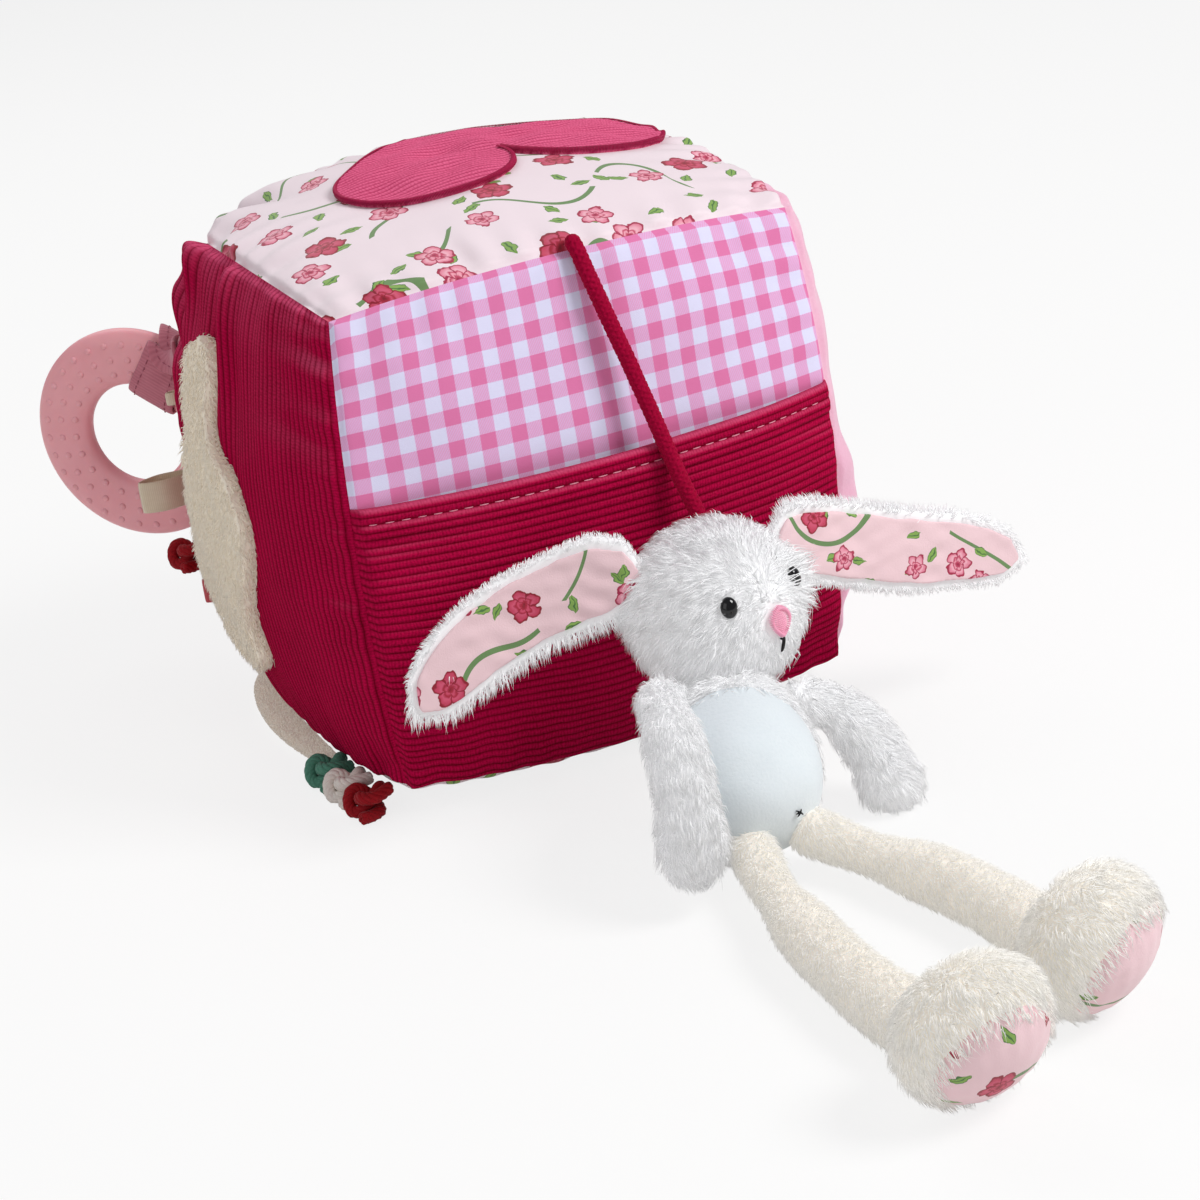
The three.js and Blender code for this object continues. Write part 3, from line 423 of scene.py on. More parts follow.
def soft_copy(node: str, voxel: float, rounds: int) -> Surface:
    """An even, rounded skin over a CAD solid, as a remesh of its merged copy.

    Args:
        node: the CAD node.
        voxel: the size of the new faces, in millimetres.
        rounds: how many times the skin is smoothed.

    Returns:
        The skin.
    """
    mesh = frame["nodes"][node].data.copy()
    shape = bmesh.new()
    shape.from_mesh(mesh)
    bmesh.ops.remove_doubles(shape, verts=shape.verts, dist=0.01 * MM)
    shape.to_mesh(mesh)
    shape.free()
    rough = bpy.data.objects.new(node + "_rough", mesh)
    bpy.context.scene.collection.objects.link(rough)
    remesh = rough.modifiers.new("even", "REMESH")
    remesh.mode, remesh.voxel_size = "VOXEL", voxel * MM
    smooth = rough.modifiers.new("round", "SMOOTH")
    smooth.factor, smooth.iterations = 0.5, rounds
    made = rough.evaluated_get(bpy.context.evaluated_depsgraph_get()).to_mesh()
    places = np.empty(len(made.vertices) * 3, np.float32)
    made.vertices.foreach_get("co", places)
    loops = np.empty(len(made.loops), np.int32)
    made.loops.foreach_get("vertex_index", loops)
    places = places.reshape(-1, 3).astype(float) / MM
    surface = Surface(places, loops.reshape(-1, 4).astype(int), np.zeros((len(places), 2)))
    bpy.data.objects.remove(rough)
    return surface


@dataclass(frozen=True)
class Pile:
    """Plush pile: wisps that stand on a skin, lean one way and close up into locks."""

    per_mm2: float  # wisps to a square millimetre of skin
    length: float
    width: float
    lean: float  # from 0, upright, to 1, flat along the brushed way
    lock: float  # how wide a lock is
    seed: int
    pull: float = 0.45  # how far the tips of a lock draw together
    stray: float = 0.2  # how far a wisp strays from its way
    lengths: tuple[float, float] = (0.65, 1.2)  # the shortest and the longest, as shares
    bend: float = 0.15  # how far a tip goes on along the brushed way, as a share of the length
    sag: float = 0.06  # how far it hangs, as a share of the length
    sunk: float = 0.3  # how deep a root is in the skin
    floor: float = 0.15  # the lowest that a wisp may reach

    def wisps(self, places: Array, normals: Array, comb: Field, longer: Array | float = 1.0) -> Surface:
        """Three-sided wisps that narrow to a point.

        Args:
            places: the wisps' roots.
            normals: the skin's way out at each.
            comb: the way that the pile is brushed, at places.
            longer: how much longer than usual each wisp is.

        Returns:
            The wisps, with a random share and the share up the wisp as places on the cloth.
        """
        rng = np.random.default_rng(self.seed)
        count = len(places)
        brushed = comb(places)
        brushed = unit(brushed - normals * (brushed * normals).sum(-1, keepdims=True))
        way = unit(normals * (1 - self.lean) + brushed * self.lean + rng.normal(0, self.stray, (count, 3)))
        length = (self.length * rng.uniform(*self.lengths, count) * longer)[:, None]
        tip = places + way * length
        cells = np.floor((places + 0.5 * self.lock * Ripple(9, self.seed).over(places)[:, None]) / self.lock)
        lock = np.unique(cells.astype(int), axis=0, return_inverse=True)[1].ravel()
        share = np.bincount(lock)[:, None]
        middle = np.stack([np.bincount(lock, tip[:, axis]) for axis in range(3)], 1) / share
        tip = tip + (middle[lock] - tip) * self.pull
        tip += brushed * length * self.bend + vec(0, 0, -self.sag) * length
        mid = places + way * length * 0.5
        across = unit(np.cross(way, normals + 0.4 * rng.normal(size=(count, 3))))
        over = np.cross(way, across)
        angle = turns(3)[None, :, None]
        ring = self.width / 2 * (np.cos(angle) * across[:, None] + np.sin(angle) * over[:, None])
        root = (places - normals * self.sunk)[:, None] + ring
        waist = mid[:, None] + ring * 0.8
        points = np.concatenate([root, waist, tip[:, None]], 1)
        points[..., 2] = np.maximum(points[..., 2], self.floor)
        start = np.arange(count)[:, None] * 7
        quads = np.concatenate([start + [[k, (k + 1) % 3, 3 + (k + 1) % 3, 3 + k]] for k in range(3)])
        tris = np.concatenate([start + [[3 + k, 3 + (k + 1) % 3, 6]] for k in range(3)])
        tint = np.broadcast_to(rng.uniform(size=(count, 1)), (count, 7))
        rise = np.broadcast_to([0, 0, 0, 0.55, 0.55, 0.55, 1], (count, 7))
        return Surface(points.reshape(-1, 3), quads, np.stack([tint, rise], -1).reshape(-1, 2), tris)

    def over(
        self, skin: Surface, comb: Field, keep: Field | None = None, longer: Field | None = None
    ) -> Surface:
        """The skin with its pile on it.

        Args:
            skin: the skin.
            comb: the way that the pile is brushed, at places.
            keep: which places bear pile, or all.
            longer: how much longer the pile is at places, or nowhere.

        Returns:
            Skin and wisps as one surface.
        """
        rng = np.random.default_rng(self.seed + 1)
        places, normals = skin.scattered(int(skin.area() * self.per_mm2), rng)
        if keep is not None:
            chosen = keep(places)
            places, normals = places[chosen], normals[chosen]
        stretch = longer(places) if longer is not None else 1.0
        return Surface.joined([skin, self.wisps(places, normals, comb, stretch)])


# Finishes


def linear(colour: str) -> tuple[float, float, float, float]:
    """An sRGB hex colour as linear values."""
    values = [int(colour[k : k + 2], 16) / 255 for k in (1, 3, 5)]
    return (*(x / 12.92 if x <= 0.04045 else ((x + 0.055) / 1.055) ** 2.4 for x in values), 1.0)


class Graph:
    """A material and its nodes."""

    def __init__(self, name: str) -> None:
        """Starts an empty material."""
        self.material = bpy.data.materials.new(name)
        self.material.use_nodes = True
        self.tree = self.material.node_tree
        self.tree.nodes.clear()

    def put(
        self, kind: str, *values: Input, out: int | str = 0, named: dict[str, Input] | None = None,
        **settings: object,
    ) -> Socket | None:
        """Adds a node.

        Args:
            kind: the node's type, without its first word.
            values: values or sockets for its first inputs, in order.
            out: which output is given back.
            named: values or sockets for inputs by name.
            settings: the node's own settings.

        Returns:
            One of its outputs, or none where it has none.
        """
        node = self.tree.nodes.new("ShaderNode" + kind)
        for key, value in settings.items():
            setattr(node, key, value)
        for key, value in [*enumerate(values), *(named or {}).items()]:
            if isinstance(value, bpy.types.NodeSocket):
                self.tree.links.new(value, node.inputs[key])
            elif value is not None:
                node.inputs[key].default_value = value
        return node.outputs[out] if len(node.outputs) else None

    def cloth(self) -> Socket:
        """Places on the cloth, in millimetres."""
        return self.put("UVMap", uv_map=CLOTH_MAP)

    def inside(self) -> Socket:
        """Places in the piece's own space, in metres."""
        return self.put("TexCoord", out="Object")

    def math(self, work: str, *values: Input, clamp: bool = False) -> Socket:
        """A sum of one kind on one or two values, cut to between 0 and 1 if clamp is set."""
        return self.put("Math", *values, operation=work, use_clamp=clamp)

    def plus(self, first: Input, second: Input, clamp: bool = False) -> Socket:
        """Two values added."""
        return self.math("ADD", first, second, clamp=clamp)

    def times(self, first: Input, second: Input, clamp: bool = False) -> Socket:
        """Two values multiplied."""
        return self.math("MULTIPLY", first, second, clamp=clamp)

    def noise(self, place: Socket, scale: float, detail: float = 2.0, out: int | str = 0) -> Socket:
        """Soft noise over places."""
        return self.put("TexNoise", named={"Vector": place, "Scale": scale, "Detail": detail}, out=out)

    def mix(self, share: Input, low: Input, high: Input, blend: str = "MIX") -> Socket:
        """Two colours mixed by a share, each a socket or an sRGB hex colour."""
        low, high = (linear(shade) if isinstance(shade, str) else shade for shade in (low, high))
        return self.put("MixRGB", share, low, high, blend_type=blend)

    def bump(self, height: Socket, strength: float, depth: float) -> Socket:
        """A bumped normal, whose full height stands for a depth in millimetres."""
        return self.put("Bump", named={"Height": height, "Strength": strength, "Distance": depth * MM})

    def finish(self, colour: Input, normal: Socket | None = None, **sockets: Input) -> bpy.types.Material:
        """Ends the material in a Principled shader.

        Args:
            colour: the base colour, a socket or linear values.
            normal: the bumped normal, or none.
            sockets: other values, by name with _ for a space.

        Returns:
            The material.
        """
        named = {key.replace("_", " "): value for key, value in sockets.items()}
        shader = self.put("BsdfPrincipled", named={"Base Color": colour, "Normal": normal, **named})
        self.put("OutputMaterial", shader)
        return self.material


@dataclass(frozen=True)
class Corduroy:
    """Cotton needlecord, woven with cut pile: round wales, with painted shade in their valleys and painted
    top light where the cloth faces up.
    """

    name: str
    crest: str = "#BE0845"
    # valley: painted shade, the darker colour laid in the grooves between the wales
    valley: str = "#640014"
    # brushed: the painted sheen colour laid on cloth that faces up
    brushed: str = "#D2587E"
    wale: float = 2.4
    tuft: float = 0.95  # the pitch of the cut tufts along a wale
    nap: float = 1.0  # how strong the painted top light is: lighter colour where the cloth faces up, as if lit from above

    def build(self) -> bpy.types.Material:
        """Crest and valley colours across the wales, the valleys darkened as painted shade, tufts along them,
        and painted top light where the cloth faces up.
        """
        g = Graph(self.name)
        place = g.cloth()
        x = g.put("SeparateXYZ", place)
        wave = g.math("SINE", g.times(x, math.pi / self.wale))
        crest = g.math("POWER", g.math("ABSOLUTE", wave), 0.6)
        stretched = g.put("Mapping", place, named={"Scale": (1.7, 1.1, 1)})
        uneven = g.noise(stretched, 1.0, 3.0)
        waves = {"Vector": place, "Scale": WAVE_SCALE / self.tuft, "Distortion": 6.0, "Detail": 1.0}
        cut = g.put("TexWave", named=waves, bands_direction="Y")
        tufts = g.mix(0.2, uneven, cut)
        patches = g.noise(place, 0.05)
        level = g.times(g.times(crest, tufts), 1.7)
        level = g.plus(level, g.times(patches, 0.35))
        level = g.math("SUBTRACT", level, 0.2, clamp=True)
        # painted top light: the colour lightens where the cloth's normal points up, as if lit from above
        facing = g.put("SeparateXYZ", g.put("TexCoord", out="Normal"), out=2)
        level = g.plus(level, g.times(facing, 0.25 * self.nap), clamp=True)
        # the valley colour is painted shade in the grooves; the crest colour is the cloth's own
        colour = g.mix(level, self.valley, self.crest)
        # painted sheen: the brushed colour is laid over up-facing crests
        lit = g.times(g.math("SUBTRACT", facing, 0.12), 1.5 * self.nap, clamp=True)
        lit = g.times(lit, g.times(level, 0.75))
        colour = g.mix(lit, colour, self.brushed)
        height = g.plus(g.times(tufts, 0.6), crest)
        bump = g.bump(height, 0.6, 0.35)
        return g.finish(
            colour, bump, Roughness=0.95, Specular_IOR_Level=0.05, Sheen_Weight=0.14,
            Sheen_Roughness=0.35, Sheen_Tint=linear("#F0407C"),
        )


@dataclass(frozen=True)
class Gingham:
    """Yarn-dyed cotton gingham: white and pink yarns that cross in even squares."""

    name: str
    yarn: str = "#E67DB0"
    crossed: str = "#E9AEDA"  # where dyed and white yarns cross
    ground: str = "#E5E3FE"
    square: float = 4.6

    def build(self) -> bpy.types.Material:
        """Stripes of dyed yarn each way; where only one is dyed, the yarns show as a fine twill."""
        g = Graph(self.name)
        place = g.cloth()
        stripes = []
        for axis in (0, 1):
            along = g.times(g.put("SeparateXYZ", place, out=axis), math.pi / self.square)
            wave = g.math("SINE", along)
            stripes.append(g.plus(g.times(wave, 9.0), 0.5, clamp=True))
        turned = g.put("Mapping", place, named={"Rotation": (0, 0, math.radians(38))})
        twill = g.put("TexWave", named={"Vector": turned, "Scale": 0.5}, bands_direction="X")
        both = g.mix(twill, stripes[0], stripes[1])
        half = g.mix(0.22, g.mix(0.5, stripes[0], stripes[1]), both)
        noise = g.noise(place, 2.4)
        level = g.plus(half, g.times(noise, 0.14))
        level = g.math("SUBTRACT", level, 0.07, clamp=True)
        pale = g.times(level, 2.0, clamp=True)
        strong = g.math("SUBTRACT", g.times(level, 2.0), 1.0, clamp=True)
        colour = g.mix(pale, self.ground, self.crossed)
        colour = g.mix(strong, colour, self.yarn)
        weave = g.put("TexChecker", named={"Vector": place, "Scale": 2.6}, out=1)
        height = g.plus(weave, noise)
        bump = g.bump(height, 0.3, 0.12)
        return g.finish(colour, bump, Roughness=0.85, Specular_IOR_Level=0.25)


@dataclass(frozen=True)
class PrintedCotton:
    """Smooth printed cotton: scattered five-petalled blossoms, leaves and trailing stems."""

    name: str
    ground: str = "#F3E2E8"
    blossom: float = 6.6
    spread: float = 27.0

    def motif(self, g: Graph, place: Socket, spread: float, shift: float) -> tuple[Socket, Socket, Socket]:
        """Where a point lies about the nearest motif.

        Args:
            g: the material's graph.
            place: places on the cloth.
            spread: how far motifs stand apart.
            shift: how far the layout is moved.

        Returns:
            Across and up from the motif's middle after a random turn, and its random share.
        """
        moved = g.put("Mapping", place, named={"Location": (shift, shift * 0.7, 0)})
        settings = {"voronoi_dimensions": "2D", "feature": "F1"}
        named = {"Vector": moved, "Scale": 1 / spread, "Randomness": 0.8}
        cell = g.put("TexVoronoi", named=named, out="Position", **settings)
        chance = g.put("TexVoronoi", named=named, out="Color", **settings)
        share = g.put("SeparateXYZ", chance)
        local = g.put("VectorMath", moved, cell, operation="SUBTRACT")
        angle = g.times(share, 2 * math.pi)
        turned = g.put("VectorRotate", local, named={"Axis": (0, 0, 1), "Angle": angle})
        return g.put("SeparateXYZ", turned), g.put("SeparateXYZ", turned, out=1), share

    def build(self) -> bpy.types.Material:
        """Blossoms outlined in dark rose, green leaves with a vein, and stems along noise contours."""
        g = Graph(self.name)
        place = g.cloth()
        edge = g.noise(place, 0.45, 1.0, out="Color")
        bent = g.put("VectorMath", edge, (0.5, 0.5, 0.5), operation="SUBTRACT")
        bent = g.put("VectorMath", bent, named={"Scale": 2.2}, operation="SCALE")
        bent = g.put("VectorMath", bent, place, operation="ADD")
        noise = g.noise(place, 0.022, 0.0)
        ring = g.math("ABSOLUTE", g.math("SUBTRACT", noise, 0.5))
        stem = g.math("LESS_THAN", ring, 0.0085)
        gaps = {"Vector": place, "Scale": 0.035, "Detail": 0.0, "W": 3.0}
        gap = g.put("TexNoise", named=gaps, noise_dimensions="4D")
        stem = g.times(stem, g.math("GREATER_THAN", gap, 0.42))
        colour = g.mix(stem, self.ground, "#6C8E58")
        for shift, spread in ((3.0, self.spread * 0.62), (41.0, self.spread * 0.8)):
            x, y, share = self.motif(g, bent, spread, shift)
            bow = g.math("POWER", g.math("DIVIDE", x, 0.52 * self.blossom), 2.0)
            half = g.math("SUBTRACT", 1.0, bow)
            ratio = g.math("DIVIDE", g.math("ABSOLUTE", y), g.times(half, 0.26 * self.blossom))
            inside = g.times(g.math("LESS_THAN", ratio, 1.0), g.math("GREATER_THAN", half, 0.0))
            some = g.times(inside, g.math("LESS_THAN", share, 0.5))
            vein = g.math("MAXIMUM", g.math("LESS_THAN", ratio, 0.16), g.math("GREATER_THAN", ratio, 0.8))
            green = g.mix(vein, "#86AC52", "#48733A")
            colour = g.mix(some, colour, green)
        x, y, share = self.motif(g, bent, self.spread, 17.0)
        reach = g.put("VectorMath", g.put("CombineXYZ", x, y), out="Value", operation="LENGTH")
        angle = g.math("ARCTAN2", y, x)
        lobes = g.math("ABSOLUTE", g.math("COSINE", g.times(angle, 2.5)))
        size = g.plus(g.times(share, 0.35), 0.75)
        rim = g.plus(g.times(lobes, 0.3), 0.72)
        rim = g.times(g.times(rim, size), self.blossom)
        ratio = g.math("DIVIDE", reach, rim)
        split = g.math("LESS_THAN", lobes, 0.2)
        ramp = self.petal_rings(g, ratio)
        petals = g.mix(split, ramp, "#A81E48")
        deep = g.mix(1.0, petals, "#DC7696", "MULTIPLY")
        petals = g.mix(g.math("GREATER_THAN", share, 0.5), petals, deep)
        colour = g.mix(g.math("LESS_THAN", ratio, 1.0), colour, petals)
        weave = g.noise(place, 2.2)
        folds = g.noise(place, 0.09)
        height = g.plus(g.times(folds, 4.0), weave)
        bump = g.bump(height, 0.35, 0.25)
        return g.finish(colour, bump, Roughness=0.62, Sheen_Weight=0.2, Sheen_Roughness=0.4)

    @staticmethod
    def petal_rings(g: Graph, ratio: Socket) -> Socket:
        """The blossom's rings from its eye to its outline."""
        socket = g.put("ValToRGB", ratio)
        ramp = socket.node.color_ramp
        ramp.interpolation = "EASE"
        stops = (
            (0.0, "#8E1638"), (0.16, "#C43A5E"), (0.3, "#F0A3B4"), (0.44, "#C43A5E"),
            (0.56, "#F3B4C2"), (0.82, "#E8889F"), (0.92, "#A81E44"),
        )
        while len(ramp.elements) < len(stops):
            ramp.elements.new(0.5)
        for element, (place, shade) in zip(ramp.elements, stops):
            element.position, element.color = place, linear(shade)
        return socket


@dataclass(frozen=True)
class Nap:
    """Knitted fleece, minky or velour: a short matt nap with cloudy brushing."""

    name: str
    high: str
    low: str
    grain: float = 0.8
    depth: float = 0.25

    def build(self) -> bpy.types.Material:
        """Two close shades in a fine grain over broad clouds."""
        g = Graph(self.name)
        place = g.inside()
        fine = g.noise(place, 1 / (self.grain * MM), 3.0)
        cloud = g.noise(place, 1 / (14 * MM))
        level = g.mix(0.5, fine, cloud)
        colour = g.mix(level, self.low, self.high)
        bump = g.bump(fine, 0.5, self.depth)
        return g.finish(colour, bump, Roughness=0.92, Sheen_Weight=0.4, Sheen_Roughness=0.5)


@dataclass(frozen=True)
class Plush:
    """Long polyester plush: pale wisps, with painted shade that darkens them towards their roots, and a
    painted glow.
    """

    name: str
    tip: str = "#FDFDFE"
    # root: painted shade, the darker colour deep in the pile near the skin
    root: str = "#ECECED"
    inner: float = 0.14  # painted glow: emission in the tip colour that stands in for light scattered on inside the pile

    def build(self) -> bpy.types.Material:
        """Painted shade from root to tip by the wisp's own rise, with each wisp a little different, and a
        painted glow in the tip colour.
        """
        g = Graph(self.name)
        wisp = g.cloth()
        rise = g.put("SeparateXYZ", wisp, out=1)
        tint = g.times(g.put("SeparateXYZ", wisp), 0.35)
        place = g.inside()
        cloud = g.noise(place, 1 / (11 * MM))
        level = g.plus(rise, tint)
        level = g.plus(level, g.times(cloud, 0.3), clamp=True)
        # painted shade: the wisps darken towards their roots, where the pile shades itself
        colour = g.mix(level, self.root, self.tip)
        # painted glow: the pile shines with its tip colour though it is no lamp
        return g.finish(
            colour, Roughness=0.8, Specular_IOR_Level=0.3, Sheen_Weight=0.3, Sheen_Roughness=0.4,
            Emission_Color=linear(self.tip), Emission_Strength=self.inner,
        )


@dataclass(frozen=True)
class Strand:
    """Dyed yarn or thread: soft, with a slight lustre and fine fibres along it."""

    name: str
    shade: str
    deep: str
    gloss: float = 0.7
    lustre: float = 0.2
    fuzz: float = 0.1

    def build(self) -> bpy.types.Material:
        """Two shades in short streaks."""
        g = Graph(self.name)
        place = g.inside()
        fibres = g.noise(place, 1 / (0.7 * MM), 3.0)
        colour = g.mix(fibres, self.deep, self.shade)
        bump = g.bump(fibres, 0.5, 0.12)
        return g.finish(
            colour, bump, Roughness=self.gloss, Specular_IOR_Level=self.lustre, Sheen_Weight=self.fuzz,
            Sheen_Roughness=0.4,
        )


@dataclass(frozen=True)
class Ribbon:
    """Woven ribbon or tape: fine ribs across its run."""

    name: str
    shade: str
    deep: str
    rib: float = 0.6
    gloss: float = 0.45

    def build(self) -> bpy.types.Material:
        """Ribs by the run along the tape, with soft clouds from handling."""
        g = Graph(self.name)
        place = g.cloth()
        waves = {"Vector": place, "Scale": WAVE_SCALE / self.rib, "Distortion": 0.4}
        ribs = g.put("TexWave", named=waves, bands_direction="X")
        cloud = g.noise(place, 0.12, 3.0)
        level = g.plus(g.times(ribs, 0.35), cloud, clamp=True)
        colour = g.mix(level, self.deep, self.shade)
        bump = g.bump(ribs, 0.35, 0.12)
        return g.finish(colour, bump, Roughness=self.gloss, Sheen_Weight=0.25, Sheen_Roughness=0.4)


@dataclass(frozen=True)
class Moulded:
    """Moulded plastic or rubber: smooth, with a faint unevenness in its gloss."""

    name: str
    shade: str
    deep: str
    gloss: float
    depth: float = 0.0

    def build(self) -> bpy.types.Material:
        """One shade that drifts a little, and a soft scatter below the skin."""
        g = Graph(self.name)
        place = g.inside()
        cloud = g.noise(place, 1 / (9 * MM))
        colour = g.mix(cloud, self.deep, self.shade)
        grain = g.noise(place, 1 / (0.5 * MM), 1.0)
        bump = g.bump(grain, 0.15, 0.05)
        return g.finish(
            colour, bump, Roughness=self.gloss, Subsurface_Weight=self.depth, Subsurface_Scale=3 * MM
        )


# The block


@dataclass(frozen=True)
class Side:
    """A side of the block: its right and up ways, how far it swells and puckers, and whether it is broad."""

    right: tuple[float, float, float]
    up: tuple[float, float, float]
    crown: float
    pucker: float
    broad: bool = False

    @property
    def out(self) -> Array:
        """The way out of the side."""
        return np.cross(self.right, self.up)


SIDES = {
    "front": Side((1, 0, 0), (0, 0, 1), 9.0, 0.45),
    "back": Side((-1, 0, 0), (0, 0, 1), 11.0, 0.8),
    "left": Side((0, -1, 0), (0, 0, 1), 14.5, 0.6),
    "right": Side((0, 1, 0), (0, 0, 1), 11.0, 0.8),
    "top": Side((1, 0, 0), (0, 1, 0), 10.5, 1.15),
    "bottom": Side((1, 0, 0), (0, -1, 0), 5.5, 0.5, broad=True),
}


@dataclass(frozen=True)
class Creases:
    """How far the cloth's creases stand, how long their waves are and how far they reach."""

    calm: float = 3.0  # beside a seam, where they are low
    pucker_wave: float = 13.0
    pucker_reach: float = 12.0
    pucker_run: float = 0.16  # how much a pucker changes inwards, against along its seam
    uneven: tuple[float, float, float] = (0.55, 46.0, 14.0)  # height, wave and calm beside a seam
    fan: tuple[float, float, float] = (3.2, 9.0, 0.02)  # height, count and bend at the gathered corner
    fan_reach: tuple[float, float] = (54.0, 9.0)  # from the corner, and calm beside a seam
    drape: tuple[float, float, float] = (3.4, 19.0, 34.0)  # height, wave and reach on the left side
    drape_run: float = 0.12
    drape_share: tuple[float, float] = (0.85, -0.3)  # of the side's width, where the drape ends and is full
    puff: tuple[float, float] = (1.8, 3.6)  # the right side's swelling by the front seam, and more low down
    puff_place: tuple[float, float] = (12.0, 9.0)  # from the seam, and its width
    puff_low: tuple[float, float] = (0.35, 0.3)  # the same as shares of the side's height
    under_heart: tuple[float, float] = (0.75, 48.0)  # how much calmer the cloth is, and within what


@dataclass(frozen=True)
class StuffedBlock:
    """The block's six sewn sides, with the pocket and the two patches sewn on them."""

    half: float = 70.0  # from the middle to a seam's ends
    bow: float = 3.0  # how far a seam's middle swells past its ends
    middle: float = 78.0  # of the block above the floor
    tuck: float = 2.5  # how far a corner is drawn in
    gathered: float = 23.0  # the same at the top back left corner
    wale: float = 2.4  # from one cord of the corduroy to the next
    wale_rise: float = 0.3
    seam_dip: float = 1.0
    seam_width: float = 1.5
    turned_in: float = 3.0  # how far a side's cloth goes in at its seams
    plan: float = 76.0  # from the middle of a side's flat cloth to its edge
    core_depth: float = 3.4  # of the stuffing's skin under the cloth
    mouth: float = 87.5  # of the pocket above the bottom seam
    hem: float = 8.0
    hem_rise: float = 0.7  # of the turned cloth over the rest
    stitch_dent: float = 0.55
    lip_round: float = 0.9  # how far the mouth's fold rounds off
    stitch_drop: float = 4.2  # from the mouth to the row of stitches
    stitch_pitch: float = 4.0
    stitch_length: float = 2.9
    stitch_size: float = 0.18
    bag: float = 5.2  # how far the pocket's mouth stands off the front
    cloth: float = 1.6  # its thickness
    seat: float = 0.3  # off the cloth behind
    inside: float = 26.0  # how far down inside the pocket its cloth is drawn
    pocket_flat: tuple[float, float] = (0.148, 0.12)  # metres of cloth, with the turned hem
    heart_lobe: float = 26.0  # its round lobes' radius
    heart_length: float = 52.0  # from between the lobes to the tip
    heart_turn: float = 192.0  # degrees on the top's plan
    heart_place: tuple[float, float] = (13.5, 4.0)
    heart_thickness: float = 1.4
    heart_wale: float = 2.3
    rabbit_height: float = 98.0
    rabbit_thickness: float = 3.5
    rim_round: float = 1.6  # from a patch's edge to its full thickness
    patch_swell: tuple[float, float, float] = (0.7, 26.0, 7.0)  # height, wave and calm beside the rim
    satin_reach: tuple[float, float] = (1.3, 0.4)  # how far the stitches go in and out over an edge
    satin_slant: float = 0.35  # how far each goes along the edge, as a share of the pitch
    satin_rise: float = 0.3  # of the thread's middle over the patch, and of its arch

    def creases(self, name: str, u: Array, v: Array) -> Array:
        """How far a side's cloth stands off its stuffed form.

        The puckers run in from each seam and die away, folds fan out from the gathered corner,
        and all of it is nothing on the seams themselves, where the sides meet.
        """
        side = SIDES[name]
        order = list(SIDES).index(name)
        flat = self.half * np.stack([u, v], -1)
        space = flat[..., :1] * vec(*side.right) + flat[..., 1:] * vec(*side.up) + self.half * side.out
        off_u, off_v = (1 - abs(u)) * self.half, (1 - abs(v)) * self.half
        seam = np.minimum(off_u, off_v)
        made = Creases()
        pucker = np.zeros_like(u)
        for off, along in ((off_u, flat[..., 1]), (off_v, flat[..., 0])):
            wave = Ripple(made.pucker_wave, 11 + order).over(np.stack([along, made.pucker_run * off], -1))
            pucker += side.pucker * wave * np.exp(-off / made.pucker_reach)
        height, length, still = made.uneven
        uneven = height * Ripple(length, 31 + order).over(space) * grow(seam, still)
        corner = vec(-self.half, self.half, self.half)
        away = space - corner
        reach = np.linalg.norm(away, axis=-1)
        turn = np.arctan2(away @ vec(*side.up), away @ vec(*side.right))
        height, count, bend = made.fan
        far, still = made.fan_reach
        folds = height * np.sin(turn * count + bend * reach) * bell(reach, far) * grow(seam, still)
        if name == "left":
            height, length, far = made.drape
            drape = np.exp(-off_v / far) * ease(*made.drape_share, u) * (v > 0)
            run = np.stack([flat[..., 0], made.drape_run * off_v], -1)
            folds += height * drape * Ripple(length, 71).over(run)
        if name == "right":
            puff = made.puff[0] + made.puff[1] * bell(v + made.puff_low[0], made.puff_low[1])
            folds += puff * bell((1 + u) * self.half - made.puff_place[0], made.puff_place[1])
        dip = np.maximum(*(self.seam_dip * bell(off, self.seam_width) for off in (off_u, off_v)))
        calm = np.ones_like(u)
        if name == "top":
            calm -= made.under_heart[0] * bell(apart(flat, vec(*self.heart_place)), made.under_heart[1], 6)
        return (pucker + uneven + folds) * grow(seam, made.calm) * calm - dip

    def at(
        self, name: str, u: Array, v: Array, lift: Array | float = 0.0, inset: Array | float = 0.0
    ) -> Array:
        """Places on a side, lifted off its cloth.

        The side's seams bow out in their middles, its middle swells by its crown, and the corners
        are drawn in towards the middle of the block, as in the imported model.

        Args:
            name: the side.
            u: how far across it they lie, from -1 to 1.
            v: how far up it, from -1 to 1.
            lift: how far they stand off the cloth.
            inset: how far they are drawn in from the side's edges.

        Returns:
            The places.
        """
        side = SIDES[name]
        lift = lift + self.creases(name, u, v)
        reach = self.half + lift
        bow_u, bow_v = 1 - u * u, 1 - v * v
        rise = (1 - u**4) * (1 - v**4) if side.broad else np.maximum(bow_u * bow_v, 0) ** 0.75
        out = reach + self.bow * (bow_u + bow_v - bow_u * bow_v) + side.crown * rise
        if side.broad:
            out = np.minimum(out, self.middle + np.minimum(lift, 0) * 0.4 - 0.3)
        across = u * (reach - inset + self.bow * bow_v)
        up = v * (reach - inset + self.bow * bow_u)
        ways = vec(*side.right), vec(*side.up), side.out
        place = sum(size[..., None] * way for size, way in zip((across, up, out), ways))
        signs = np.sign(place)
        at_gathers = np.all(signs == vec(-1, 1, 1), axis=-1)
        tuck = np.where(at_gathers, self.gathered, self.tuck)
        near = np.minimum((abs(place.prod(-1)) / reach**3) ** 3, 1)
        return place - unit(signs) * (tuck * near)[..., None] + vec(0, 0, self.middle)

    def wales(self, places: Array, edge: Array) -> Array:
        """Round corduroy wales: the root of a sine across them, flattened at the seams."""
        crest = np.sqrt(abs(np.sin(math.pi * places / self.wale)))
        return self.wale_rise * (crest - 0.8) * grow(edge, 2)

    def back_seam(self, height: float) -> Array:
        """The place on the back left seam at a height above the floor."""
        return self.at("left", vec(-1.0), vec((height - self.middle) / self.half), 1.0)[0]

